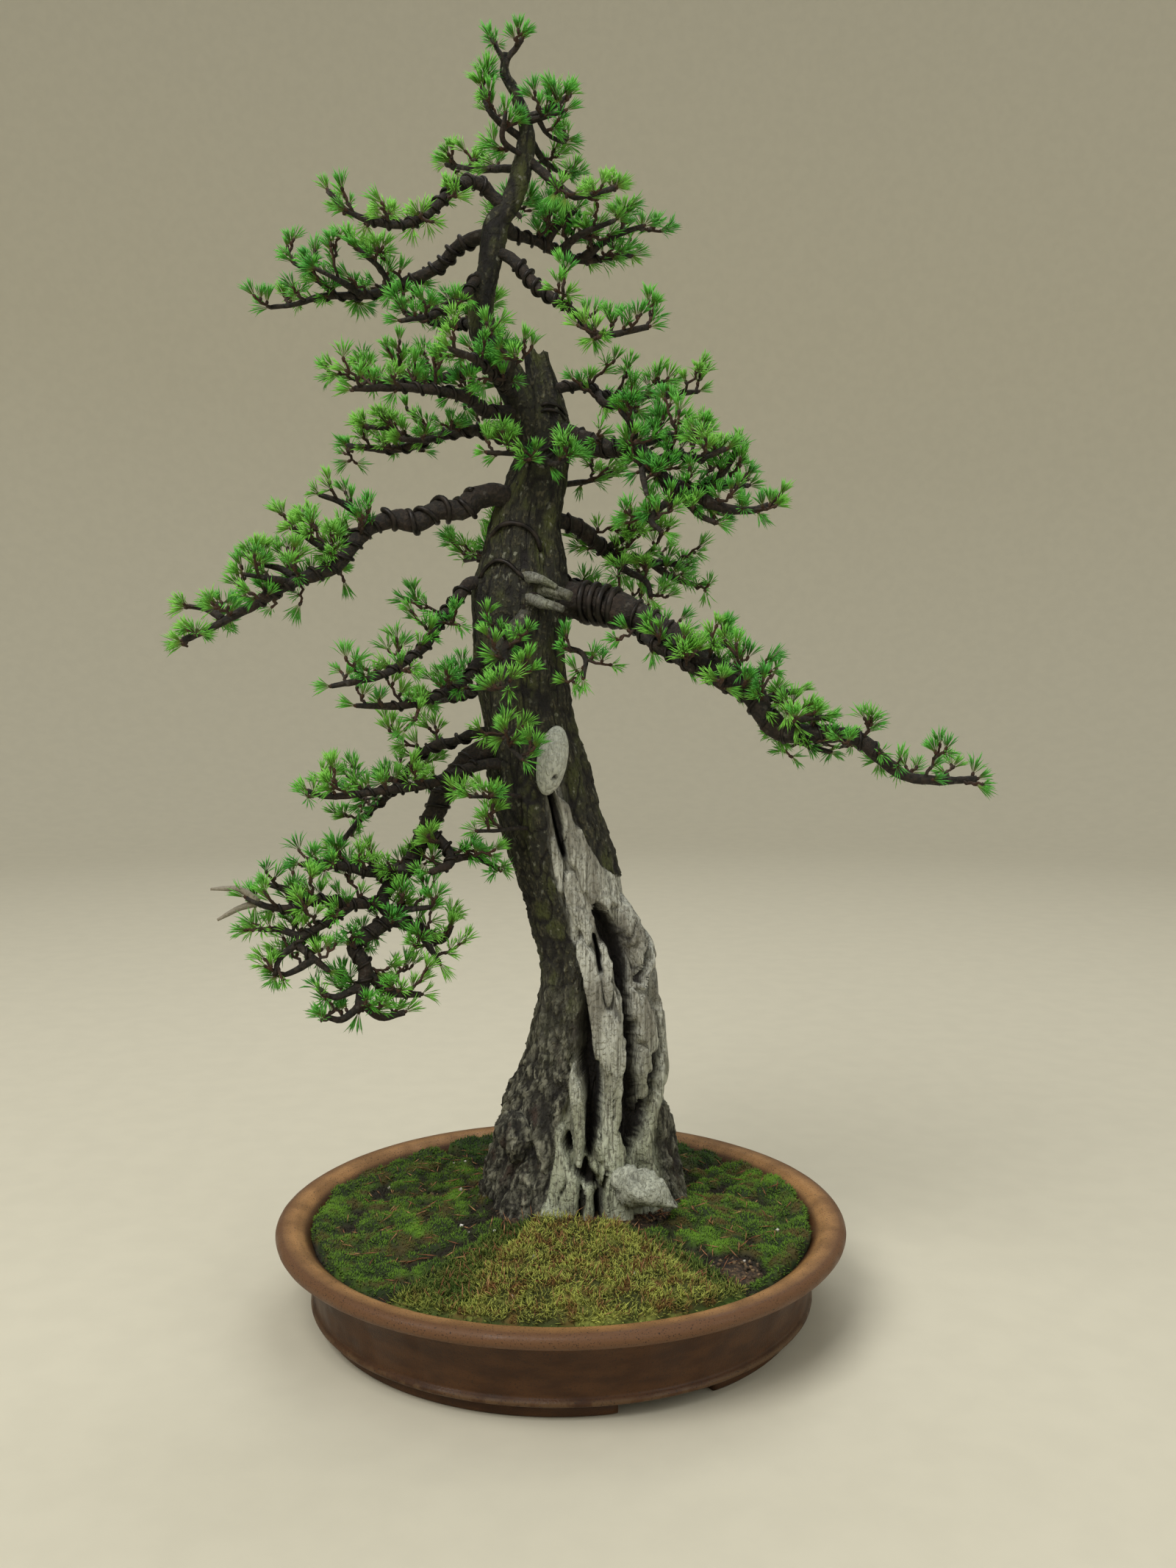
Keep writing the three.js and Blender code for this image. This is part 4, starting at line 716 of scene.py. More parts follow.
def foot_arcs():
    """Three arcs of the foot ring: its closed profile carried between two gaps, rounded off at both ends by
    drawing the profile in towards its middle."""
    profile = rounded_profile(FOOT_PROFILE)
    middle = profile.mean(axis=0)
    count = 70
    steps = np.arange(count)
    closing = ease((steps + 1) / 3) * ease((count - steps) / 3)
    radius, height = np.moveaxis(middle + (profile - middle) * (0.86 + 0.14 * closing[:, None, None]), -1, 0)
    half_gap = FOOT_GAP / 2 / FOOT_REACH
    turns = sorted(math.radians(turn) for turn in FOOT_GAP_TURNS)
    arcs = []
    for start, end in zip(turns, turns[1:] + [turns[0] + 2 * math.pi]):
        along = np.linspace(start + half_gap, end - half_gap, count)[:, None]
        ring = vectors(radius * np.cos(along), radius * np.sin(along), height)
        arcs.append(tube_skin(ring[:, ::-1]))
    return joined(arcs)


def drill(piece):
    """Cuts the drain holes through a piece's floor and keeps the result as its mesh."""
    spare = 4
    ends = turned(vectors(DRAIN_REACH, [FLOOR_UNDER - spare, FLOOR_TOP + spare]), np.radians(DRAIN_TURNS))
    skin = tubes(ends.swapaxes(0, 1), np.full((len(DRAIN_TURNS), 2), DRAIN_RADIUS), 40)
    mesh = bpy.data.meshes.new("drain bores")
    mesh.from_pydata(to_metres(skin.points), [], [face[face >= 0].tolist() for face in skin.faces])
    cutter = bpy.data.objects.new("drain bores", mesh)
    bpy.context.scene.collection.objects.link(cutter)
    cut = piece.modifiers.new("drain holes", "BOOLEAN")
    cut.operation, cut.solver, cut.object = "DIFFERENCE", "EXACT", cutter
    shape = bpy.data.meshes.new_from_object(piece.evaluated_get(bpy.context.evaluated_depsgraph_get()))
    piece.modifiers.clear()
    piece.data = shape
    bpy.data.objects.remove(cutter)


# Soil and moss

def soil_height(x, y):
    """A low cone: the edge's height plus the slope times the way in, level on the crown."""
    return SOIL_EDGE_HEIGHT + SOIL_SLOPE * (SOIL_EDGE - np.maximum(np.hypot(x, y), SOIL_CROWN))


def domes(x, y, size, seed, share=1.0, fill=0.62):
    """Round cushions in millimetres: each cell of a square lattice holds one with a chance of `share`, at a
    random place and with a random radius; over it the height is 0.55 × the root of radius² - distance²."""
    place = vectors(x, y) / size
    home = np.floor(place)
    height = np.zeros(x.shape)
    for step in product((-1, 0, 1), repeat=2):
        cell = home + step
        middle = cell + vectors(scatter(cell, seed), scatter(cell, seed + 1))
        radius = (fill + 0.3 * scatter(cell, seed + 2)) * (scatter(cell, seed + 3) < share)
        away = ((place - middle) ** 2).sum(axis=-1)
        height = np.maximum(height, 0.55 * size * np.sqrt(np.maximum(radius ** 2 - away, 0)))
    return height


def patch_share(moss, x, y):
    """(inside, turn, reach) of places on a patch: 1 well inside it and 0 at its wavy edge, and the place's
    bearing and way from the axis."""
    turn = np.degrees(np.arctan2(y, x))
    first, last = moss.turns
    turn = first + (turn - first + 40) % 360 - 40
    reach = np.hypot(x, y)
    place = vectors(x, y)
    wave = 8 * noise(place, 22, 5) + 4 * noise(place, 7, 6)
    arc = np.radians(np.minimum(turn - first, last - turn)) * reach + wave + 10
    inward = reach - moss.inner + wave + 4
    outward = MOSS_EDGE - reach + 0.3 * wave
    return ease(arc / 11) * ease(inward / 14) * ease(outward / 3), turn, reach


def moss_rise(name, x, y):
    """How high a patch's surface stands over the soil: the patch's dome, times low swells and round cushions,
    and a rise towards the pot's lip."""
    moss = MOSSES[name]
    inside, turn, reach = patch_share(moss, x, y)
    place = vectors(x, y)
    rim = 4.2 * ease((reach - 140) / 24)
    if name == "moss_mound":
        swell = 0.72 + 0.2 * noise(place, 34, 21) + 0.14 * noise(place, 13, 22)
        main = 0.3 + 0.7 * ease((turn + 117) / 15) * ease((-52 - turn) / 9)
        main *= 0.2 + 0.8 * ease((MOSS_EDGE + 2 - reach) / 30)
        return inside * (main * (0.8 * moss.thick * swell + 0.6 * domes(x, y, 15, 31, 0.8)) + rim) - 0.8
    if name == "moss_left":
        low = 0.30 + 0.28 * noise(place, 40, 23)
        cushions = np.maximum(domes(x, y, 14, 32, 0.8, 0.45), 0.8 * domes(x, y, 9, 36, 0.5, 0.45))
        return inside * (0.5 * moss.thick * low + 0.95 * cushions + rim) - 0.6
    if name == "moss_right":
        low = 0.42 + 0.3 * noise(place, 30, 24)
        open_x, open_y, radius = OPEN_SOIL
        away = np.hypot(x - open_x, y - open_y) - radius
        bare = ease((away + 5 * noise(place, 9, 26)) / radius)
        return bare * inside * (0.6 * moss.thick * low + 0.9 * domes(x, y, 15, 33, 0.85, 0.5) + rim) - 0.6
    low = 0.4 + 0.3 * noise(place, 30, 25)
    return inside * (0.6 * moss.thick * low + 0.8 * domes(x, y, 16, 34, 0.8) + rim) - 1.0


def ground(x, y):
    """The height of what lies uppermost: soil or moss."""
    rises = [moss_rise(name, x, y) for name in MOSSES]
    return soil_height(x, y) + np.maximum(np.max(rises, axis=0), 0)


def moss_sheet(name, pitch):
    """A patch's surface on a grid of bearing and reach, closed underneath 3 mm below the soil's top."""
    moss = MOSSES[name]
    spare, mean_reach = 5, 120
    first, last = moss.turns
    turns = np.radians(np.arange(first - spare, last + spare, math.degrees(pitch / mean_reach)))
    reach = np.arange(moss.inner - spare, MOSS_EDGE + pitch, pitch)[:, None]
    reach = np.minimum(reach, MOSS_EDGE)
    x, y = reach * np.cos(turns), reach * np.sin(turns)
    place = vectors(x, y)
    rise = moss_rise(name, x, y)
    height = soil_height(x, y) + rise + 0.35 * noise(place, 2.4, 40) * ease(rise)
    top = vectors(x, y, height)
    bottom = vectors(x, y, np.minimum(soil_height(x, y) - 3, height - 0.5))
    return slab(top[::-1], bottom[::-1], {"rise": rise[::-1]})


def on_ring(turn, nearest, farthest, random):
    """(x, y) at those bearings, spread evenly over the ring between two reaches."""
    reach = np.sqrt(random.uniform(nearest ** 2, farthest ** 2, len(turn)))
    return reach * np.cos(turn), reach * np.sin(turn)


def moss_places(name, count, random):
    """Random places where a patch stands out of the soil: (points, ways out by the slope, heights)."""
    moss = MOSSES[name]
    turn = np.radians(random.uniform(moss.turns[0] - 4, moss.turns[1] + 4, count))
    x, y = on_ring(turn, moss.inner - 4, MOSS_EDGE, random)
    rise = moss_rise(name, x, y)
    step = 0.6
    slope_x = (moss_rise(name, x + step, y) - rise) / step
    slope_y = (moss_rise(name, x, y + step) - rise) / step
    way = unit(vectors(-slope_x, -slope_y, np.ones_like(x)))
    keep = (rise > 0.1) & (np.hypot(x, y) < MOSS_EDGE - 0.5)
    points = vectors(x, y, soil_height(x, y) + rise)
    return points[keep], way[keep], rise[keep]


def square_to(ways):
    """(side, across): two directions square to each way and to each other."""
    side = unit(np.cross(ways, np.where(np.abs(ways[:, 2:]) < 0.9, UP, (1.0, 0, 0))))
    return side, np.cross(ways, side)


def corners_round(places, ways, widths):
    """Three corners round each place, square to its way, half a width from it."""
    side, across = square_to(ways)
    out = swung(side[:, None], across[:, None], whole_turn(3))
    return places[:, None] + out * widths[:, None, None] / 2


def alike(points, faces, values, along=None):
    """One skin of many small forms alike. `points` has the axes form, corner and place. A value has one
    number for each form, and `along` says how far out each corner of a form lies."""
    count, each, _ = points.shape
    spread = {name: np.repeat(value, each) for name, value in values.items()}
    if along:
        spread["along"] = np.tile(along, count)
    return Skin(points.reshape(-1, 3), repeated(triangles(faces), count, each), spread)


def spikes(roots, ways, lengths, widths, values):
    """Short shoots, each a three-sided pyramid: three corners round its root, and a tip one length out."""
    tip = roots + ways * lengths[:, None]
    points = np.concatenate([corners_round(roots, ways, widths), tip[:, None]], axis=1)
    return alike(points, [(2, 1, 0), (0, 1, 3), (1, 2, 3), (2, 0, 3)], values, [0, 0, 0, 1.0])


def blades(roots, ways, bends, lengths, widths, values):
    """Thin three-sided blades: a root, three corners towards the blunt end, and a tip. Each follows a
    parabola that starts along its way. The tip lies one length out, moved by the bend, and the corners at
    0.68 of the length, moved by 0.46 of the bend."""
    middle = roots + ways * 0.68 * lengths[:, None] + 0.46 * bends
    tip = roots + ways * lengths[:, None] + bends
    points = np.concatenate([roots[:, None], corners_round(middle, ways, widths), tip[:, None]], axis=1)
    faces = [(2, 1, 0), (3, 2, 0), (1, 3, 0), (1, 2, 4), (2, 3, 4), (3, 1, 4)]
    return alike(points, faces, values, [0, 0.68, 0.68, 0.68, 1.0])


def leaning(ways, spread, random):
    """Ways turned aside at random: the way plus a random vector of that size, made one long again."""
    return unit(ways + spread * random.normal(size=ways.shape))


def moss_shoots(name, count, length, width, spread, seed, curled):
    """Short shoots all over a patch, each leaning a little from the surface's own way out: curled blades for
    feather moss and stalks, and plain spikes for cushion moss."""
    random = np.random.default_rng(seed)
    points, ways, rise = moss_places(name, count, random)
    ways = leaning(ways, spread, random)
    sizes = length * random.uniform(0.55, 1.25, len(points))
    widths = width * random.uniform(0.7, 1.2, len(points))
    values = {"tone": random.uniform(0, 1, len(points)), "rise": rise}
    roots = points - ways * 0.6
    if not curled:
        return spikes(roots, ways, sizes, widths, values)
    bends = 0.24 * sizes[:, None] * random.normal(size=ways.shape)
    return blades(roots, ways, bends, sizes, widths, values)


def soil_body(pitch):
    """Soil as a closed lathe shape: up the side of the pot's hollow, then in over the rough top."""
    side = finer(np.array(SOIL_SIDE), 30)
    reach = np.arange(SOIL_EDGE, 30, -pitch)
    top = vectors(reach, soil_height(reach, 0))
    turns = whole_turn(SOIL_SIDES)
    rings = turned(np.concatenate([side, top]), turns)
    crumbs = 1.1 * rough(rings, 6, 51) + 0.5 * noise(rings, 1.8, 52)
    rings[len(side):, :, 2] += crumbs[len(side):] * ease((SOIL_EDGE - reach) / 3)[:, None]
    return tube_skin(rings)


def grains(count, low, high, seed, on_moss=False):
    """Grains on the soil, or also on the moss: eight-sided lumps with random radii. Their middle lies 0.3 of
    the upright radius over the ground."""
    random = np.random.default_rng(seed)
    x, y = on_ring(random.uniform(-np.pi, np.pi, count), *GRAINS_REACH, random)
    kept = random.uniform(0, 1, count) < 0.9 if on_moss else ground(x, y) < soil_height(x, y) + 0.4
    x, y = x[kept], y[kept]
    number = len(x)
    radii = random.uniform(low, high, (number, 1)) * random.uniform(0.6, 1.1, (number, 3))
    spin = np.linalg.qr(random.normal(size=(number, 3, 3)))[0]
    spin *= np.sign(np.linalg.det(spin))[:, None, None]
    corners = np.concatenate([np.eye(3), -np.eye(3)])
    middle = vectors(x, y, ground(x, y) + radii[:, 2] * 0.3)
    points = middle[:, None] + (corners * radii[:, None]) @ spin
    faces = [(0, 1, 2), (1, 3, 2), (3, 4, 2), (4, 0, 2), (1, 0, 5), (3, 1, 5), (4, 3, 5), (0, 4, 5)]
    return alike(points, faces, {"tone": random.uniform(0, 1, number)})


def fallen_needles(count, seed):
    """Dry needles that lie flat on the ground, in any direction, a little curved."""
    random = np.random.default_rng(seed)
    x, y = on_ring(random.uniform(-np.pi, np.pi, count), *LITTER_REACH, random)
    heading = random.uniform(-np.pi, np.pi, count)
    length = random.uniform(8, 17, count)
    ways = vectors(np.cos(heading), np.sin(heading), 0 * heading)
    end_x, end_y = x + length * ways[:, 0], y + length * ways[:, 1]
    rise = ground(end_x, end_y) - ground(x, y)
    ways = unit(ways * length[:, None] + UP * np.clip(rise, -4, 4)[:, None])
    height = np.maximum(ground(x, y), ground(x + ways[:, 0] * length / 2, y + ways[:, 1] * length / 2)) + 0.8
    roots = vectors(x, y, height)
    bends = 0.12 * length[:, None] * vectors(-ways[:, 1], ways[:, 0], 0 * heading)
    inside = np.hypot(end_x, end_y) < 160
    tone = random.uniform(0, 1, count)
    kept = (each[inside] for each in (roots, ways, bends, length, np.full(count, 0.9)))
    return blades(*kept, {"tone": tone[inside]})


# Trunk

def trunk_edges(height):
    """(left, right, middle, half depth) of the trunk at a height, in straight lines between its stations."""
    return [np.interp(height, TRUNK_STATIONS[:, 0], TRUNK_STATIONS[:, k]) for k in (1, 2, 3, 4)]


def trunk_middle(height):
    """The trunk's own middle at a height, where a branch takes root."""
    if height < STUB_FOOT:
        left, right, middle, _ = trunk_edges(height)
        return np.array([(left + right) / 2, middle, height])
    return np.array([np.interp(height, LEADER[:, 2], LEADER[:, k]) for k in (0, 1)] + [height])


def inside_ribbon(x, z, rows):
    """(how far inside a ribbon a place lies, and the ribbon's half width there): the half width, in straight
    lines between the middle line's points, less the distance to that line, largest over its stretches."""
    rows = np.array(rows, float)
    best = np.full(x.shape, -99.0)
    half = np.ones(x.shape)
    for (ax, az, aw), (bx, bz, bw) in zip(rows[:-1], rows[1:]):
        share = ((x - ax) * (bx - ax) + (z - az) * (bz - az)) / ((bx - ax) ** 2 + (bz - az) ** 2)
        share = np.clip(share, 0, 1)
        width = aw + share * (bw - aw)
        within = width - np.hypot(x - ax - share * (bx - ax), z - az - share * (bz - az))
        half = np.where(within > best, width, half)
        best = np.maximum(best, within)
    return best, half


def bare_share(x, z, turn, place):
    """1 on the bare wood and 0 on the bark. The bare wood lies between the two bark lines on the front, goes
    round the right side below them, ends at the knob and holds a strand of bark. Its edge is made ragged."""
    ragged = 1.4 * noise(place, (5, 5, 12), 61) + 0.8 * noise(place, (2, 2, 5), 62)
    beyond, before = (np.interp(z, line[::-1, 1], line[::-1, 0]) for line in (BARK_LINE, RIGHT_BARK_LINE))
    behind = (0.5 + 0.25 * np.sin(z / 31) - turn) * 30 + 2 * ragged
    above = (DEADWOOD_TOP - 4 - 0.35 * np.abs(x + 2) - z) + 2 * ragged
    inside = np.minimum(np.minimum(x - beyond, before - x) + ragged, np.minimum(behind, above))
    share = ease(inside / 1.6 + 0.5)
    for rows in BARK_STRANDS:
        within, _ = inside_ribbon(x, z, rows)
        share *= 1 - ease((within + ragged) / 1.6 + 0.5) * (turn < 0.3)
    return share


def bare_relief(x, z, turn, place, lean):
    """(height, facing, deep) of the bare wood. Over the trunk's face it is sunk, with planks that rise at
    steep edges, clefts that sink in, creases and narrow splits where long noise is near 0, and fine grain
    along the trunk. `facing` is 1 on that face and 0 at the sides, and `deep` is 1 where the wood lies
    low, in clefts and in splits: a mask for painted shade there."""
    wander_x = x + 1.3 * noise(place, (6, 6, 16), 64) + 0.8 * noise(place, (2, 2, 6), 65)
    wander_z = z + 5 * noise(place, (3.2, 3.2, 20), 66)
    sunk = -5.0
    height = sunk + 1.8 * noise(place, (4, 9, 34), 67)
    cut = np.zeros(x.shape)
    for rise, rows in PLANKS:
        within, half = inside_ribbon(wander_x, wander_z, rows)
        crown = 1.4 * np.clip(within / half, 0, 1)
        height = np.maximum(height, sunk + (rise - sunk - 1.4 + crown) * ease(within / 1.3 + 0.4))
    for depth, rows in CLEFTS:
        within, half = inside_ribbon(wander_x, wander_z, rows)
        cut = np.maximum(cut, depth * ease(within / (0.5 * half) + 0.25))
    height = height - cut
    facing = np.clip(-1.9 * np.sin(turn), 0, 1)
    side = -1.4 + 3.4 * noise(vectors(turn * 30, z), (5, 24), 68)
    height = facing * height + (1 - facing) * side
    across = vectors((x - lean) + 0.4 * place[..., 1], z)
    grain = 0.42 * noise(across, (1.5, 34), 69) + 0.3 * noise(across, (3.6, 60), 70)
    creases = 2.2 * np.abs(noise(place + 0.8 * warp_of(place, 5), (7, 7, 38), 301)) - 0.9
    split = 1 - ease(np.abs(noise(place, (6, 6, 60), 302)) / 0.09)
    split *= ease(2 * noise(place, (9, 9, 26), 303) + 0.5)
    height += creases + grain - 3 * split
    # Painted shade: the wood is darkened where it lies low, in clefts and in splits.
    deep = ease(np.maximum((-3 - height) / 7, np.maximum((cut - 3) / 5, 0.8 * split)))
    return height, facing, facing * deep


def warp_of(place, size):
    """Moves in three directions for each place, by noise of that size, half as long again upwards."""
    return vectors(*(rough(place, (size, size, 1.7 * size), seed, 2) for seed in (71, 172, 273)))


def bark_relief(place, low):
    """(height, crack, tone) of bark. Low on the trunk long ridges stand between deep furrows, which lie
    where stretched noise is near 0, and carry thin flakes: irregular upright cells, each lifted by its own
    tone, with a crack where two meet. Higher up there are only low scales and fine fissures. `crack` is 1
    in the cracks, furrows and fissures, which are painted near black: partly the bark's own dark inner layer,
    partly painted shade."""
    warp = warp_of(place, 7)
    ridge = np.abs(noise(place + 3 * warp, (11, 11, 42), 76))
    first, second, tone = cells(place + 2 * warp, np.array([6.5, 6.5, 7.5]), 74)
    fine_first, fine_second, fine_tone = cells(place + warp, np.array([3.2, 3.2, 4.2]), 75)
    gap, fine_gap = second - first, fine_second - fine_first
    flake = 2.6 * tone * ease(gap / 0.1) - 1
    scale = 1.3 * fine_tone * ease(fine_gap / 0.12) - 0.5
    thick = 3.6 * ease(ridge / 0.34) - 2.4
    fissure = 1 - np.abs(noise(place + 2 * warp, (6, 6, 15), 79))
    height = low * (thick + flake + 0.7 * scale)
    height += (1 - low) * (0.9 * scale - 1.2 * ease((fissure - 0.8) / 0.2))
    height += 1.3 * rough(place, (20, 20, 36), 77, 2)
    # Cracks, furrows and fissures are painted near black: partly the bark's darker inner layer, partly
    # painted shade.
    crack = np.maximum(low * (1 - ease(gap / 0.09)), 0.6 * (1 - ease(fine_gap / 0.1)))
    crack = np.maximum(crack, low * (1 - ease((ridge - 0.04) / 0.14)))
    crack = np.maximum(crack, (1 - low) * ease((fissure - 0.8) / 0.15))
    return height, crack, low * (0.55 * tone + 0.45 * fine_tone) + (1 - low) * fine_tone


def root_swell(turn, z):
    """How far the roots reach out: for each, its reach × exp(-(bearing off / spread)²) × the square of how
    far below its top a place lies."""
    swell = np.zeros(turn.shape)
    for bearing, spread, reach, top in ROOTS:
        off = (np.degrees(turn) - bearing + 180) % 360 - 180
        low = np.clip((top - z) / (top - SOIL_EDGE_HEIGHT), 0, 1.15)
        swell += reach * np.exp(-(off / spread) ** 2) * low * low
    return swell


def trunk_skin():
    """The trunk on a grid of height and bearing: an oval through its four edges at each height, pushed out
    along the bearing by roots, flutes, bark and bare wood."""
    halfway = DEADWOOD_TOP + 2
    heights = np.concatenate([np.arange(TRUNK_FOOT, halfway, 1.5), np.arange(halfway, TRUNK_TOP, 3.3)])
    front, back = np.linspace(-np.pi, 0, 200, endpoint=False), np.linspace(0, np.pi, 86, endpoint=False)
    z, turn = np.meshgrid(heights, np.concatenate([front, back]), indexing="ij")
    around = [trunk_edges(heights + step) for step in (-9, -3, 3, 9)]
    left, right, middle, depth = np.mean(around, axis=0)[..., None]
    x = (left + right) / 2 + (right - left) / 2 * np.cos(turn)
    y = middle + depth * np.sin(turn)
    place = vectors(x, y, z)
    slim = np.clip((right - left) / 60, 0.2, 1)
    bare = bare_share(x, z, turn, place)
    wood, facing, deep = bare_relief(x, z, turn, place, (left + right) / 2)
    low = ease((250 - z) / 110) * (0.75 + 0.25 * np.clip(-np.cos(turn), 0, 1))
    bark, crack, tone = bark_relief(place, low)
    flutes = (1 - 0.5 * facing) * (1.6 * np.sin(6 * turn + z / 45) + 0.9 * np.sin(11 * turn - z / 23))
    relief = slim * (bare * wood + (1 - bare) * (bark + 0.4))
    out = root_swell(turn, z) + relief + flutes * (1 - bare * facing)
    jagged = ease((z - STUB_FOOT) / 26) * 3 * noise(vectors(turn * 9, 0 * z), (6, 9), 78)
    rings = vectors(x + out * np.cos(turn), y + out * np.sin(turn), z + jagged)
    # Painted shade goes into the bare wood's low places and clefts, and into the bark's cracks.
    skin = tube_skin(rings, {
        "bare": bare, "deep": bare * deep, "crack": (1 - bare) * crack, "plate": tone, "low": low})
    skin.points[-1, 2] -= STUB_HOLLOW
    return skin


def leader_skin():
    """The living leader: a tube of 44 sides along its route, with bark on it."""
    route, rings = station_tube(LEADER, 1.9, 44)
    bark, crack, tone = bark_relief(rings, np.zeros(rings.shape[:-1]))
    out = unit(rings - route[:, None])
    return tube_skin(rings + out * (0.55 * bark + 0.2)[..., None], {"crack": crack, "plate": tone})


def burr_skin(middle, radii, lean, bare, hole, seed):
    """A burr: an ovoid of (radius × sin, radius × cos) rings, leaned over, with noise along its own way out.
    Its hole sinks in by 3 × exp(-(distance / 1.5)²), and is darkened there by painted shade."""
    rise = np.linspace(-1, 1, 36)[1:-1] * np.pi / 2
    ball = turned(vectors(np.cos(rise), np.sin(rise)), whole_turn(56))
    cos, sin = math.cos(math.radians(lean)), math.sin(math.radians(lean))
    tilt = np.array([[cos, 0, sin], [0, 1, 0], [-sin, 0, cos]])
    points = np.array(middle) + (ball * np.array(radii)) @ tilt.T
    full = np.ones(points.shape[:-1])
    grain = 0.12 * noise(points, (1.8, 1.8, 16), seed) + 0.7 * noise(points, (9, 9, 14), seed + 1)
    bark, crack, tone = bark_relief(points, 0.8 * full)
    pit = 0 * full
    if hole:
        pit = np.exp(-((points[..., 0] - hole[0]) ** 2 + (points[..., 2] - hole[1]) ** 2) / 1.5 ** 2)
        pit *= points[..., 1] < middle[1]
    swell = bare * grain + (1 - bare) * bark - 3 * pit
    # The hole is darkened by painted shade.
    return tube_skin(points + ball * swell[..., None], {
        "bare": bare * full, "rubbed": bare * full, "crack": (1 - bare) * crack, "plate": tone,
        "low": 0.8 * full, "deep": ease(2 * pit)})


def snag_skin(bare, hollow, stations, seed):
    """A bleached stump: a tube through its stations, with splinters by noise stretched along it, and painted
    shade where they sink in. Its first end may be hollow: the pole there lies that far inside, and is
    darkened by painted shade."""
    path, rings = station_tube(np.array(stations, float), 1.1, 28)
    full = np.ones(rings.shape[:-1])
    turn = whole_turn(28)
    place = vectors(3 * np.cos(turn), 3 * np.sin(turn), lengths_along(path)[:, None])
    splinters = 0.4 * noise(place, (2.4, 2.4, 14), seed) + 0.14 * noise(rings, 2.6, seed + 1)
    # Painted shade where the splinters sink in.
    skin = tube_skin(swollen(path, rings, splinters), {
        "bare": bare * full, "rubbed": 0.6 * bare * full, "plate": 0.5 + splinters,
        "deep": np.clip(-2.2 * splinters, 0, 0.8)})
    if hollow:
        skin.points[-2] += hollow * unit(path[1] - path[0])
        # Painted shade deep in the hollow end.
        skin.values["deep"][-2] = 1.6
    return skin


# Branches

def limb_route(branch):
    """(route, length inside the trunk) of a branch, from the trunk's middle just below its first point."""
    first = np.array(branch.route[0], float)
    heart = trunk_middle(first[2] - 6)
    inside = np.linalg.norm(first - heart)
    return smooth_route([heart, *branch.route], 2.6), inside


def stretches_of(branch):
    """(branch, route, bare length) for a branch and each of its forks."""
    route, inside = limb_route(branch)
    forks = [Branch(*fork) for fork in branch.forks]
    return [(branch, route, branch.bare + inside),
            *((fork, smooth_route(fork.route, 2.6), fork.bare) for fork in forks)]


def thickness(stretch, share):
    """The radius of a limb at a share of its length: it tapers evenly from `thick` to `tip`."""
    return stretch.thick + (stretch.tip - stretch.thick) * share


def aside(way, random):
    """A random direction square to a way."""
    return unit(np.cross(way, random.normal(size=3)))


def limb_skin(stretch, route, seed):
    """A limb: a tapered tube with knuckles and flaky bark by noise. One without leaves is dead and pale."""
    radii = thickness(stretch, np.linspace(0, 1, len(route)))
    rings = rings_round(route, radii, 16 if stretch.thick > 6 else 9)
    knuckles = 0.2 * noise(rings, 9, seed) + 0.14 * noise(rings, 3, seed + 1)
    dead = np.full(knuckles.shape, float(stretch.bare == DEAD))
    return tube_skin(swollen(route, rings, knuckles), {"plate": np.clip(knuckles, 0, 0.25), "dead": dead})


def twig_path(root, way, reach, random):
    """A twig of six points: a quadratic curve that leaves along its way and turns up, with its joints bent to
    and fro."""
    lift = unit(way + UP * random.uniform(0.1, 0.8))
    knee = root + way * reach / 2
    path = curved(root, knee, knee + lift * reach / 2, 6)
    sway = 0.045 * reach * np.array([[1], [-1], [1], [-1]]) * aside(way, random)
    path[1:-1] += sway + 0.3 * random.normal(size=(4, 3))
    return path


def spurs_along(path, pitch, random):
    """(places, ways) of short shoots along a twig and at its end, each out to its own side and up."""
    way = unit(path[-1] - path[0])
    places, ways = [path[-1]], [unit(unit(path[-1] - path[-2]) + 0.3 * UP + 0.25 * random.normal(size=3))]
    total = lengths_along(path)[-1]
    count = int(total / pitch + random.uniform(0, 1))
    for k in range(count):
        at = total * (k + random.uniform(0.35, 0.75)) / (count + 0.3)
        out = unit(aside(way, random) + 0.7 * UP + 0.35 * way)
        places.append(at_lengths(path, np.array([at]))[0] + out * 1.6)
        ways.append(out)
    return places, ways


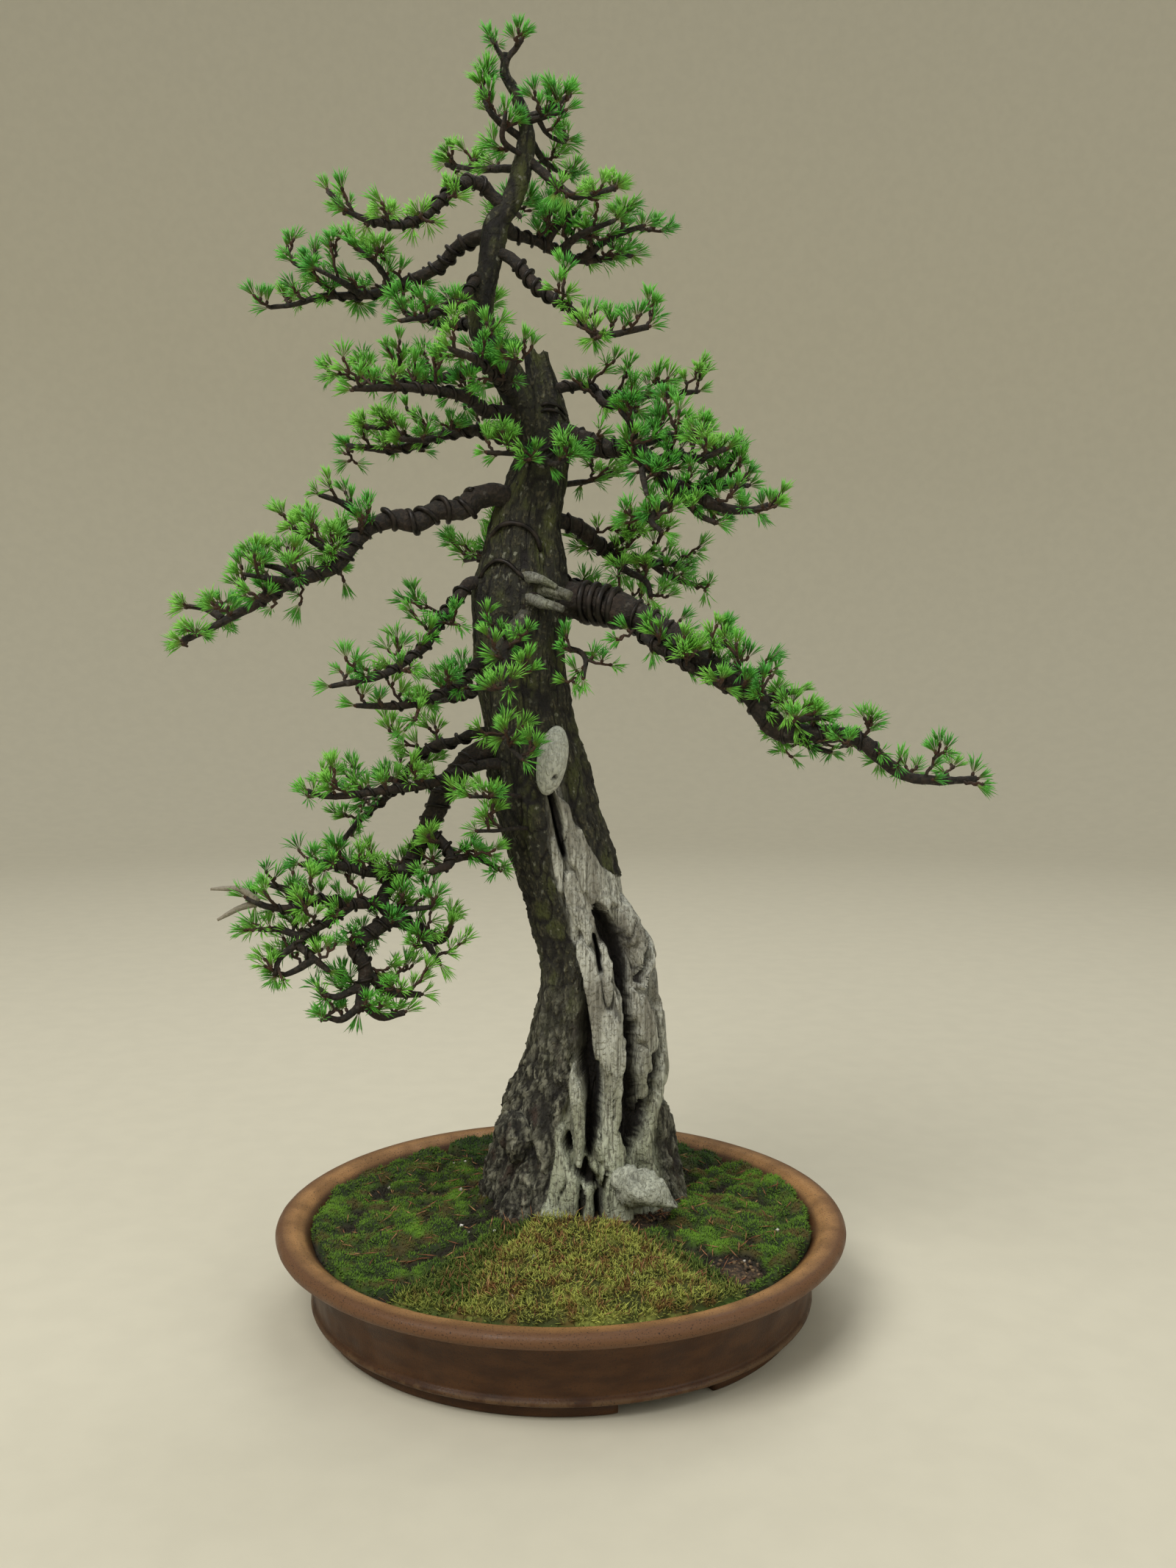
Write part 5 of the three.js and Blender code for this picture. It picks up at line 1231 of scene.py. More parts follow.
def shoot_stems(branch, route, bare, settings, random):
    """(paths of the twigs, places of the buds, ways of the buds) of one stretch. Twigs alternate left and
    right, lean outwards and turn up, and half of them fork. Every twig has a bud at its end and spurs along
    it, and the limb carries spurs of its own."""
    lengths = lengths_along(route)
    leafy = lengths[-1] - bare
    if leafy <= 0:
        return [], [], []
    headings = unit(np.gradient(route, axis=0))
    twigs, places, ways = [], [route[-1]], [unit(headings[-1] + 0.3 * UP)]
    count = max(1, round(leafy / settings.twig_pitch * MM))
    spots = bare + np.arange(0.5, count) * settings.twig_pitch / MM
    spurs = np.arange(bare + 5, lengths[-1] - 4, settings.limb_spur_pitch / MM)
    for i, length in enumerate(np.concatenate([spots, spurs + random.uniform(-4, 4, len(spurs))])):
        share = min(length / lengths[-1], 1)
        point = at_lengths(route, np.array([length]))[0]
        along = headings[min(np.searchsorted(lengths, length), len(route) - 1)]
        side = unit(np.cross(along, UP)) * (-1) ** i
        radius = thickness(branch, share)
        if i >= len(spots):
            out = unit(random.uniform(-0.5, 1) * UP + random.uniform(0, 1) * side + 0.3 * along)
            places.append(point + out * (radius + 0.8))
            ways.append(out)
            continue
        rise = math.radians(random.uniform(-28, 68))
        way = unit(side * math.cos(rise) + UP * math.sin(rise) + along * random.uniform(0.2, 0.8))
        reach = branch.twig * random.uniform(0.7, 1.7) * (1.15 - 0.35 * share)
        grown = [twig_path(point + way * radius * 0.5, way, reach + radius * 0.5, random)]
        if random.uniform() < 0.5:
            fork = unit(aside(way, random) + 0.5 * UP + 0.6 * way)
            grown.append(twig_path(grown[0][3], fork, 0.6 * reach, random))
        for path in grown:
            more_places, more_ways = spurs_along(path, settings.spur_pitch / MM, random)
            places.extend(more_places)
            ways.extend(more_ways)
        twigs.extend(grown)
    return twigs, places, ways


def buds(places, ways, tone):
    """Short shoots: stubby tubes of four sides that swell to the bud, with their foot sunk in the twig."""
    paths = places[:, None] + ways[:, None] * np.array([-1.8, 0.6, 1.9])[:, None]
    radii = np.tile([0.7, 1.25, 0.7], (len(places), 1))
    return tubes(paths, radii, 4, {"plate": np.repeat(tone[:, None], 3, axis=1)})


def tufts(places, ways, settings, random):
    """Needles of every bud, a brush that opens. A needle ends at an angle from the bud's way that is spread
    evenly over the cap within the tuft's own widest angle, at any bearing. It starts at 0.45 of that angle,
    and its bend is half of what its direction changes by, times its length."""
    each = settings.needles
    count = len(places) * each
    way = np.repeat(ways, each, axis=0)
    size = np.repeat(random.uniform(0.8, 1.14, len(places)), each)
    wide = np.repeat(random.triangular(26, 46, 80, len(places)), each)
    angle = np.radians(4 + (wide - 4) * np.sqrt(random.uniform(0, 1, count)))
    turn = random.uniform(-np.pi, np.pi, count)
    out = swung(*square_to(way), turn)
    start, end = swung(way, out, 0.45 * angle), swung(way, out, angle)
    length = (settings.needle_length / MM * size * random.uniform(0.8, 1.12, count))[:, None]
    roots = np.repeat(places, each, axis=0) + way * random.uniform(0.2, 1.9, (count, 1)) + out * 0.45
    bends = length / 2 * (end - start) + 0.03 * length * random.normal(size=(count, 3)) - 0.04 * length * UP
    width = settings.needle_width / MM * random.uniform(0.8, 1.15, count)
    tone = np.repeat(random.uniform(0, 1, len(places)), each) * 0.7 + 0.3 * random.uniform(0, 1, count)
    return blades(roots, start, bends, length[:, 0], width, {"tone": tone})


def coil_skin(branch, route, inside, coil, steps, sides, seed):
    """Wire wound round a limb: a helix that turns once each pitch, bitten in by half its radius."""
    start, end = coil.start + inside, coil.end + inside
    count = max(12, round((end - start) / coil.pitch * steps))
    lengths = np.linspace(start, end, count)
    middle = at_lengths(route, lengths)
    wood = thickness(branch, lengths / lengths_along(route)[-1])
    turn = 2 * np.pi * (lengths - start) / coil.pitch + seed
    path = middle + (wood + coil.radius * 0.5)[:, None] * swung(*frames(middle), turn)
    return wire_skin(path, coil.radius, sides, unit(middle[-1] - middle[0]))


def fine_coils(settings):
    """Thinner wire on every thick enough limb and fork, from beyond the thick wire to 0.78 of its length."""
    coils = []
    for number, branch in enumerate(BRANCHES.values()):
        for stretch, route, bare in stretches_of(branch):
            if stretch.thick < settings.wired / MM:
                continue
            inside = bare - stretch.bare
            start = stretch.coil.end + 3 if stretch.coil else 7
            end = 0.78 * (lengths_along(route)[-1] - inside)
            pitch, radius = settings.fine_pitch / MM, settings.fine_wire / MM
            if end > start + pitch:
                coil = Coil(start, end, pitch * (0.85 + 0.05 * (number % 7)), radius)
                coils.append(coil_skin(stretch, route, inside, coil, 13, 6, number))
    return joined(coils)


def on_trunk(spots, off):
    """Places on the trunk's front, seen at (x, z): the depth is the middle's less the half depth × the root
    of 1 - (way from the middle / half width)², less what lies off the bark."""
    x, z = np.array(spots, float).T
    left, right, middle, depth = trunk_edges(z)
    across = np.clip((2 * x - left - right) / (right - left), -1, 1)
    return vectors(x, middle - depth * np.sqrt(1 - across ** 2) - off, z)


def trunk_wires():
    """Wires that run over the trunk's front between two limbs, sunk into the bark at both ends."""
    wires = []
    for spots, radius in TRUNK_WIRES:
        path = smooth_route(on_trunk(spots, radius), 2)
        steps = np.arange(len(path))
        path[:, 1] += 4 * radius * (1 - ease(np.minimum(steps, steps[::-1]) / 3))
        wires.append(wire_skin(path, radius, 8))
    return joined(wires)


# Finishes

MIX_SHARE, MIX_A, MIX_B, MIX_COLOR = 0, 6, 7, 2


class Finish:
    """A material while it is made, with its constant values on the shader's own sockets."""

    def __init__(self, name, roughness, **sockets):
        self.material = bpy.data.materials.new(name)
        self.material.use_nodes = True
        self.tree = self.material.node_tree
        self.tree.nodes.clear()
        self.shader = self.put("BsdfPrincipled", {"Roughness": roughness, **sockets})
        self.put("OutputMaterial", {"Surface": self.shader})
        self.place = self.put("TexCoord", {}).outputs["Object"]

    def put(self, kind, inputs, **settings):
        """Adds a node with its settings and inputs."""
        made = self.tree.nodes.new("ShaderNode" + kind)
        for key, value in settings.items():
            setattr(made, key, value)
        self.feed(made, inputs)
        return made

    def feed(self, node, inputs):
        """Gives a node its inputs by name or number: a constant, an output, a node whose first output is
        meant, or the name of a value that the piece's own surface holds."""
        for key, value in inputs.items():
            socket = node.inputs[key]
            if isinstance(value, str):
                value = self.put("Attribute", {}, attribute_name=value).outputs["Fac"]
            if isinstance(value, bpy.types.Node):
                value = value.outputs[0]
            if isinstance(value, bpy.types.NodeSocket):
                self.tree.links.new(value, socket)
            else:
                socket.default_value = (*value, 1.0) if socket.type == "RGBA" else value

    def speckle(self, size, low, high, stretch=(1, 1, 1), detail=3.0, seed=0.0):
        """A share from 0 to 1: noise of that size in millimetres, stretched, and cut between two levels."""
        scale = tuple(1 / s for s in stretch)
        spread = self.put("Mapping", {"Vector": self.place, "Scale": scale, "Location": (seed, seed, seed)})
        grain = self.put("TexNoise", {"Vector": spread, "Scale": 1 / (size * MM), "Detail": detail})
        return self.put("MapRange", {"Value": grain, "From Min": low, "From Max": high},
                        interpolation_type="SMOOTHSTEP")

    def layers(self, color, *coats, kind="MIX"):
        """A colour under coats of (share, colour), each hiding what lies under it where its share is 1."""
        for share, coat in coats:
            inputs = {MIX_SHARE: share, MIX_A: color, MIX_B: coat}
            color = self.put("Mix", inputs, data_type="RGBA", blend_type=kind).outputs[MIX_COLOR]
        return color

    def painted(self, color, **sockets):
        """The material, once its shader has its colour and what else follows a pattern."""
        self.feed(self.shader, {"Base Color": color, **sockets})
        return self.material


def glazed_stoneware(colors):
    """Thrown stoneware under a thin matt iron glaze. To the eye: brown and slightly streaked on the wall,
    which is darkened by painted shade; orange on top of the lip, partly worn glaze and partly painted light
    from above; purplish and darker along its edge, partly the glaze and partly painted shade; and a light
    line along the bead, partly rubbed to bare tan clay and partly a painted highlight."""
    finish = Finish("matt iron glaze on stoneware", 0.48, **{"Specular IOR Level": 0.28})
    streaks = finish.speckle(8, 0.34, 0.70, (3, 3, 1), 4)
    clouds = finish.speckle(26, 0.36, 0.64, (1, 1, 1.4), 4, 3.0)
    # The bead's light line is partly rubbed bare clay and partly a painted highlight.
    worn = finish.put("Math", {0: "bead", 1: finish.speckle(9, 0.36, 0.56)}, operation="MULTIPLY")
    flecks = finish.speckle(0.9, 0.60, 0.72, detail=1)
    pores = finish.speckle(1.1, 0.35, 0.65, detail=2)
    wall = finish.layers(colors.glaze, (streaks, colors.glaze_dark))
    # The lip's top colour is partly worn glaze and partly painted light from above.
    lip = finish.layers(colors.lip, (clouds, colors.lip_dark))
    # The edge's darker colour is partly the glaze and partly painted shade.
    color = finish.layers(
        wall, ("lip", lip), ("edge", colors.edge), (worn, colors.clay_and_highlight), (flecks, colors.fleck))
    gloss = finish.put("MapRange", {"Value": clouds, "To Min": 0.40, "To Max": 0.58})
    relief = finish.put("Bump", {"Height": pores, "Distance": 0.12 * MM, "Strength": 0.5})
    return finish.painted(color, Roughness=gloss, Normal=relief)


def potting_soil(colors):
    """Damp clay granules and bark compost. To the eye: dark brown crumbs with lighter dry ones between."""
    finish = Finish("damp potting soil", 0.95)
    crumbs = finish.speckle(2.6, 0.40, 0.62)
    damp = finish.speckle(24, 0.42, 0.62, seed=2.0)
    color = finish.layers(colors.soil, (crumbs, colors.soil_dry))
    color = finish.layers(color, (damp, colors.soil_wet), kind="MULTIPLY")
    relief = finish.put("Bump", {"Height": crumbs, "Distance": 0.8 * MM, "Strength": 0.8})
    return finish.painted(color, Normal=relief)


def grit(name, first, second):
    """Mineral and bark grains. To the eye: each grain has a tone of its own, from dark to light."""
    finish = Finish(name, 0.9)
    pits = finish.speckle(0.8, 0.3, 0.7)
    relief = finish.put("Bump", {"Height": pits, "Distance": 0.2 * MM, "Strength": 0.6})
    return finish.painted(finish.layers(first, ("tone", second)), Normal=relief)


def larch_trunk(colors):
    """Old larch bark beside weathered bare wood. To the eye: flakes, light grey low on the trunk and olive
    brown with pale lichen above, over near-black cracks that are partly the bark's own darker inner layer and
    partly painted shade; beside them silver wood with fine grain, greenish lower down, darkened by painted
    shade where it lies deep, and pale where it is rubbed."""
    finish = Finish("larch bark and weathered bare wood", 0.86)
    flecks = finish.speckle(2.4, 0.44, 0.68, (1, 1, 1.4), 5)
    algae = finish.speckle(14, 0.46, 0.70, (1, 1, 1.6), 4, 5.0)
    lichen = finish.speckle(4.2, 0.60, 0.70, (1, 1, 1.3), 5, 7.0)
    chalk = finish.speckle(3.4, 0.44, 0.60, (1, 1, 3.4), 5, 2.0)
    fresh = finish.speckle(11, 0.56, 0.70, (1, 1, 2), 4, 9.0)
    young = finish.layers(
        colors.bark, (flecks, colors.bark_light), (algae, colors.bark_moss), (lichen, colors.bark_lichen))
    old = finish.layers(
        colors.bark_plate_dark, ("plate", colors.bark_plate), (chalk, colors.bark_plate_dark),
        (fresh, colors.bark_red))
    # The cracks' near-black colour is partly painted shade.
    bark = finish.layers(young, ("low", old), ("crack", colors.crack))
    height = finish.put("SeparateXYZ", {"Vector": finish.place}).outputs["Z"]
    stain = finish.put("MapRange", {"Value": height, "From Min": 0.21, "From Max": 0.08, "To Max": 0.5},
                       interpolation_type="SMOOTHSTEP")
    patches = finish.speckle(13, 0.40, 0.62, (1, 1, 3), 3, 11.0)
    lines = finish.speckle(1.3, 0.44, 0.68, (1, 1, 22), 4)
    strength = finish.put("MapRange", {"Value": "rubbed", "To Min": 0.85, "To Max": 0.25})
    grain = finish.put("Math", {0: lines, 1: strength}, operation="MULTIPLY")
    # The last coat is painted shade: a dark colour where the wood lies low, in clefts and in splits.
    wood = finish.layers(
        colors.wood, (patches, colors.wood_warm), (stain, colors.wood_green), ("rubbed", colors.wood_pale),
        (grain, colors.wood_grain), ("deep", colors.wood_shade))
    fibres = finish.speckle(0.9, 0.3, 0.7, (1, 1, 14), 3)
    coarse = finish.put("Bump", {"Height": flecks, "Distance": 1.1 * MM, "Strength": 0.9})
    fine = finish.put("Bump", {"Height": fibres, "Distance": 0.35 * MM, "Strength": 0.6, "Normal": coarse})
    return finish.painted(finish.layers(bark, ("bare", wood)), Normal=fine)


def branch_bark(colors):
    """Young larch bark on limbs and twigs. To the eye: dark grey brown, scaly, redder on the knuckles."""
    finish = Finish("young larch bark", 0.85)
    scales = finish.speckle(2.4, 0.38, 0.64, detail=4)
    lichen = finish.speckle(5, 0.60, 0.72, seed=4.0)
    color = finish.layers(
        colors.limb, (scales, colors.limb_light), ("plate", colors.twig), (lichen, colors.limb_grey),
        ("dead", colors.limb_dead))
    relief = finish.put("Bump", {"Height": scales, "Distance": 0.5 * MM, "Strength": 0.8})
    return finish.painted(color, Normal=relief)


def larch_needles(colors):
    """Fresh soft larch needles, waxy. To the eye: yellow green at the bud, mid green along, and each tuft a
    little lighter or darker than the next."""
    finish = Finish("fresh larch needles", 0.5, IOR=1.42)
    fresh = finish.speckle(60, 0.42, 0.62, detail=2)
    root = finish.put("MapRange", {"Value": "along", "From Min": 0.5, "From Max": 0.0},
                      interpolation_type="SMOOTHSTEP")
    return finish.painted(finish.layers(
        colors.needle_dark, ("tone", colors.needle), (fresh, colors.needle_fresh),
        (root, colors.needle_root)))


def anodised_wire(colors):
    """Anodised aluminium bonsai wire, weathered. To the eye: dark brown with a dull metal sheen."""
    finish = Finish("weathered anodised aluminium wire", 0.5, Metallic=0.5)
    worn = finish.speckle(5, 0.40, 0.66)
    gloss = finish.put("MapRange", {"Value": worn, "To Min": 0.45, "To Max": 0.65})
    return finish.painted(finish.layers(colors.wire, (worn, colors.wire_worn)), Roughness=gloss)


def drainage_mesh(colors):
    """Moulded polyethylene mesh. To the eye: black and faintly matt, dusty from the soil."""
    finish = Finish("moulded polyethylene mesh", 0.6)
    dust = finish.speckle(4, 0.5, 0.7)
    relief = finish.put("Bump", {"Height": dust, "Distance": 0.1 * MM, "Strength": 0.5})
    return finish.painted(finish.layers(colors.screen, (dust, colors.soil)), Normal=relief)


def living_moss(name, dark, light, dry, valley, clump, full=4.6):
    """Cushion or feather moss. To the eye: shoots dark at the foot and lighter at the tip, partly the moss's
    own colour and partly painted shade low among the shoots and painted light on their tips, in patches of
    that size of fresher and drier growth. Valleys have another colour, which fades up to the full growth's
    height in millimetres."""
    finish = Finish(name, 0.9)
    patches = finish.speckle(clump, 0.46, 0.72, detail=4)
    spots = finish.speckle(0.6 * clump, 0.50, 0.66, detail=4, seed=7.0)
    lit = finish.put("Math", {0: "along", 1: 0.4, 2: 0.0}, operation="MULTIPLY_ADD")
    lit = finish.put("Math", {0: "tone", 1: 0.6, 2: lit}, operation="MULTIPLY_ADD")
    shade = finish.put("MapRange", {
        "Value": "along", "From Min": 0.0, "From Max": 0.5, "To Min": 0.45, "To Max": 0.0})
    shoots = finish.layers(dark, (lit, light), (patches, light), (spots, dry), (shade, dark))
    hill = finish.put("MapRange", {"Value": "rise", "From Min": 0.15 * full, "From Max": full},
                      interpolation_type="SMOOTHSTEP")
    return finish.painted(finish.layers(valley, (hill, shoots)))


def dry_stalks(colors):
    """Fallen larch needles and the moss's own stalks, dry. To the eye: rust to straw, each its own tone."""
    finish = Finish("dry needles and stalks", 0.8)
    dark = finish.speckle(3, 0.45, 0.7)
    return finish.painted(finish.layers(colors.rust, ("tone", colors.straw), (dark, colors.rust)))


def paper_backdrop(color):
    """Seamless studio paper. To the eye: pale, even and without gloss."""
    finish = Finish("seamless studio paper", 0.95)
    fibre = finish.speckle(30, 0.3, 0.7)
    return finish.painted(finish.layers(color, (fibre, [0.97 * c for c in color])))


# Settings

def size(label, millimetres, note):
    """A length that is set in millimetres and kept in metres."""
    return FloatProperty(name=label, description=note, default=millimetres * MM, unit="LENGTH", precision=4)


def amount(label, default, note):
    """A count of at least 1."""
    return IntProperty(name=label, description=note, default=default, min=1)


def strength(label, default, note):
    """The strength of a light."""
    return FloatProperty(name=label, description=note, default=default, min=0.0)


def color(label, code, note):
    """A colour whose default is an sRGB hex value."""
    return FloatVectorProperty(name=label, description=note, default=linear(code), size=3, subtype="COLOR",
                               min=0.0, max=1.0)


class PotSettings(PropertyGroup):
    """Colours of the pot, and of the screens under its soil"""

    # The wall's glaze is darkened by painted shade, as under the lip and away from the light above, over the
    # glaze's own brown.
    glaze: color("Glaze", "#50331c", "Glaze on the wall")
    glaze_dark: color("Glaze streaks", "#3d2514", "Darker streaks down the wall")
    # Lighter on top of the lip: partly worn glaze, partly painted light from above
    lip: color("Lip", "#a3784a", "Worn glaze on top of the lip")
    lip_dark: color("Lip clouds", "#85613b", "Darker clouds on top of the lip")
    # Darker along the lip's edge: partly the glaze, partly painted shade
    edge: color("Lip edge", "#66472f", "Glaze along the lip's edge")
    # Partly bare clay on the rubbed bead, partly a painted highlight along it
    clay_and_highlight: color("Clay", "#5e462f", "Bare clay where the bead is rubbed")
    fleck: color("Flecks", "#33241a", "Iron flecks in the glaze")
    screen: color("Screens", "#1c1d1c", "Mesh over the drain holes")
    soil: color("Dust", "#33271c", "Soil dust on the mesh")


class SoilSettings(PropertyGroup):
    """Soil, grains and litter on it"""

    pitch: size("Soil grid", 2.4, "Distance between two rings of the soil's surface")
    soil: color("Soil", "#2c2118", "Damp soil")
    soil_dry: color("Dry crumbs", "#5a4734", "Crumbs that have dried")
    soil_wet: color("Wet patches", "#8a8078", "Shade over wet patches")
    grain_dark: color("Dark grains", "#2b2119", "Bark grains")
    grain_light: color("Light grains", "#8b7353", "Clay grains")
    grit_dark: color("Grit", "#b9b2a4", "Darkest mineral grit")
    grit_light: color("White grit", "#efece4", "Lightest mineral grit")
    rust: color("Rust", "#7c452b", "Old fallen needles and stalks")
    straw: color("Straw", "#b98d5f", "Newly fallen needles")
    fallen: amount("Fallen needles", 520, "Dry needles that lie on the ground")


class TrunkSettings(PropertyGroup):
    """Colours of bark and bare wood"""

    bark: color("Bark", "#24231a", "Bark of the upper trunk")
    bark_light: color("Bark ridges", "#504c38", "Weathered ridges of that bark")
    bark_moss: color("Bark algae", "#484c25", "Green film on the bark")
    bark_lichen: color("Bark lichen", "#7c7c6c", "Pale lichen in small patches on that bark")
    bark_red: color("Red bark", "#41322a", "Fresh bark under a flake")
    bark_plate: color("Old flakes", "#a5a38f", "Weathered flakes low on the trunk")
    bark_plate_dark: color("Old flakes, dark", "#2c2a22", "Darkest of those flakes")
    # Near-black in the bark's cracks and furrows: partly the bark's own colour, partly painted shade
    crack: color("Cracks", "#171310", "Between two flakes")
    wood: color("Bare wood", "#c2c2b6", "Bleached wood")
    wood_pale: color("Knob", "#bcbeb2", "Rubbed wood of the knob, and of the snags in part")
    wood_warm: color("Bare wood, warm", "#8c897d", "Less bleached wood")
    wood_green: color("Bare wood, green", "#b2bb97", "Algae on the wood near the soil")
    wood_grain: color("Wood grain", "#5f5c50", "Fine lines along the grain")
    # Painted shade in the clefts, splits and low places of the bare wood
    wood_shade: color("Clefts", "#1f1b17", "Wood deep in a cleft")


class BranchSettings(PropertyGroup):
    """Sizes of twigs and needles, and colours of limbs and needles"""

    twig_pitch: size("Twig spacing", 11.5, "Distance between two twigs along a limb")
    spur_pitch: size("Spur spacing", 10, "Distance between two spurs along a twig")
    limb_spur_pitch: size("Limb spur spacing", 21, "Distance between two spurs on the limb itself")
    wired: size("Thinnest wired limb", 3.4, "Radius at the trunk from which a limb has wire round it")
    fine_wire: size("Fine wire", 1.15, "Radius of the thinner wire")
    fine_pitch: size("Fine coil", 10.5, "Distance between two turns of the thinner wire")
    needles: amount("Needles", 22, "Needles in a tuft")
    needle_length: size("Needle length", 12, "Length of a needle")
    needle_width: size("Needle width", 0.82, "Width of a needle")
    limb: color("Limb", "#17130f", "Bark of limbs")
    limb_light: color("Limb scales", "#2e261e", "Lighter scales on limbs")
    limb_grey: color("Lichen", "#45403a", "Grey lichen on limbs")
    limb_dead: color("Dead wood", "#8d8575", "Bleached dead twigs")
    twig: color("Twig", "#4a2f1f", "Bark of twigs towards their tips")
    needle: color("Needle", "#68bf3e", "Needles of a light tuft")
    needle_dark: color("Needle, dark", "#42953a", "Needles of a dark tuft")
    needle_fresh: color("Needle, fresh", "#84c94c", "Needles of the freshest shoots")
    needle_root: color("Needle root", "#b4c860", "Needles next to their bud")
    wire: color("Wire", "#191411", "Anodised wire")
    wire_worn: color("Worn wire", "#332b25", "Where the wire is rubbed")


class MossSettings(PropertyGroup):
    """Moss: how dense it is, and its colours"""

    pitch: size("Moss grid", 2.4, "Distance between two points of the moss's surface")
    cushion_shoots: amount("Cushion shoots", 14500, "Shoots on each cushion patch")
    feather_shoots: amount("Feather shoots", 12300, "Shoots on the mound")
    stalks: amount("Stalks", 420, "Rust-coloured stalks on the mound")
    gold_dark: color("Mound, dark", "#3c4014", "Foot of the mound's shoots")
    gold: color("Mound", "#bcc25a", "Tips of the mound's shoots")
    gold_dry: color("Mound, dry", "#7d5a2c", "Dry patches on the mound")
    gold_thin: color("Mound's border", "#3f5a16", "Greener moss where the mound is thin")
    green_dark: color("Green moss, dark", "#1f2d0a", "Foot of the shoots")
    green: color("Green moss", "#6a9422", "Tips of the shoots")
    green_dry: color("Green moss, dry", "#5c4f22", "Drier cushions")
    # A darker copy of the green moss for the patch at the back: painted shade
    shade_dark: color("Shaded moss, dark", "#19260a", "Foot of the shoots at the back")
    shade: color("Shaded moss", "#4a6f1c", "Tips of the shoots at the back")
    shade_dry: color("Shaded moss, dry", "#4d4c24", "Drier cushions at the back")
    valley: color("Valleys", "#211c0e", "Dead moss and soil between cushions")


class StageSettings(PropertyGroup):
    """Backdrop, lights and camera"""

    reach: size("Backdrop radius", 4200, "From the middle to the wall")
    rise: size("Backdrop height", 4500, "Height of the wall")
    paper: color("Paper", "#d2ccb8", "Backdrop")
    sky: strength("Sky", 0.4, "Strength of the light from all round")
    key: strength("Key light", 66, "Power of the main light in watts")
    fill: strength("Fill light", 18, "Power of the other two lights in watts")


# Operators

class BONSAI_OT_stage(Operator):
    """Makes the backdrop, the lights and the camera of the photograph"""

    bl_idname = "bonsai.stage"
    bl_label = "Stage"

    def execute(self, context):
        settings = context.scene.bonsai_stage
        self.make_camera(context)
        self.make_backdrop(settings)
        self.make_lights(context, settings)
        return {"FINISHED"}

    def make_camera(self, context):
        """The camera looks along +Y, turned to the right and down."""
        camera = bpy.data.objects.new("camera", bpy.data.cameras.new("camera"))
        camera.data.sensor_width = SENSOR
        camera.data.lens = FOCAL_PIXELS / FRAME_HEIGHT_PIXELS * SENSOR
        camera.data.clip_start = 0.05
        camera.location = to_metres(np.array(CAMERA_PLACE, float))
        camera.rotation_euler = (math.radians(90 - CAMERA_DOWN), 0, -math.radians(CAMERA_RIGHT))
        context.scene.collection.objects.link(camera)
        context.scene.camera = camera

    def make_backdrop(self, settings):
        """A bowl facing inwards: floor, quarter circle and wall, carried once round the middle."""
        reach, rise, bend = settings.reach, settings.rise, 1.6
        angle = np.linspace(0, np.pi / 2, 14)
        radius = np.concatenate([[0.02, 1.2], reach - bend + bend * np.sin(angle), [reach]])
        height = np.concatenate([[0, 0], bend - bend * np.cos(angle), [rise]])
        sides = 96
        rings = turned(vectors(radius, height), whole_turn(sides))
        faces = grid_faces(len(radius), sides, True)[:, ::-1]
        here = np.arange(sides)
        hub = vectors(here, (here + 1) % sides, len(radius) * sides)
        mesh = bpy.data.meshes.new("backdrop")
        points = np.concatenate([rings.reshape(-1, 3), [[0, 0, 0]]])
        mesh.from_pydata(points, [], faces.tolist() + hub.tolist())
        mesh.shade_smooth()
        mesh.materials.append(paper_backdrop(settings.paper))
        backdrop = bpy.data.objects.new("backdrop", mesh)
        bpy.context.scene.collection.objects.link(backdrop)

    def make_lights(self, context, settings):
        """Even light from the sky, a large soft light above on the left, and a weaker one on the right."""
        world = bpy.data.worlds.new("sky")
        world.use_nodes = True
        sky = world.node_tree.nodes["Background"]
        sky.inputs["Color"].default_value = (0.93, 0.97, 1.0, 1.0)
        sky.inputs["Strength"].default_value = settings.sky
        context.scene.world = world
        context.scene.view_settings.view_transform = "Standard"
        lamps = [
            ("key light", settings.key, 1.7, (-1.2, -1.5, 2.6), (1.0, 0.99, 0.96)),
            ("fill light", settings.fill, 2.0, (1.9, -1.7, 1.5), (0.95, 0.98, 1.0)),
            ("top light", settings.fill, 1.6, (0.3, 1.2, 2.7), (1.0, 1.0, 1.0)),
        ]
        for name, power, width, place, tint in lamps:
            lamp = bpy.data.lights.new(name, "AREA")
            lamp.energy, lamp.size, lamp.color = power, width, tint
            made = bpy.data.objects.new(name, lamp)
            made.location = place
            aim = np.array([0, 0, 0.4]) - np.array(place)
            made.rotation_euler = (math.atan2(math.hypot(aim[0], aim[1]), -aim[2]), 0,
                                   math.atan2(aim[1], aim[0]) - math.pi / 2)
            context.scene.collection.objects.link(made)


class BONSAI_OT_pot(Operator):
    """Makes the glazed pot, and finishes the screens and clips under the soil"""

    bl_idname = "bonsai.pot"
    bl_label = "Pot"

    def execute(self, context):
        settings = context.scene.bonsai_pot
        glaze = glazed_stoneware(settings)
        pot = make_piece("stoneware_pot", [(pot_shell(), glaze)], ["pot"])
        drill(pot)
        make_piece("pot_feet", [(foot_arcs(), glaze)])
        mesh, wire = drainage_mesh(settings), anodised_wire(context.scene.bonsai_branches)
        for name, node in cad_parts.items():
            if name.startswith("drain_"):
                node.data.materials.clear()
                node.data.materials.append(mesh if "screen" in name else wire)
        return {"FINISHED"}


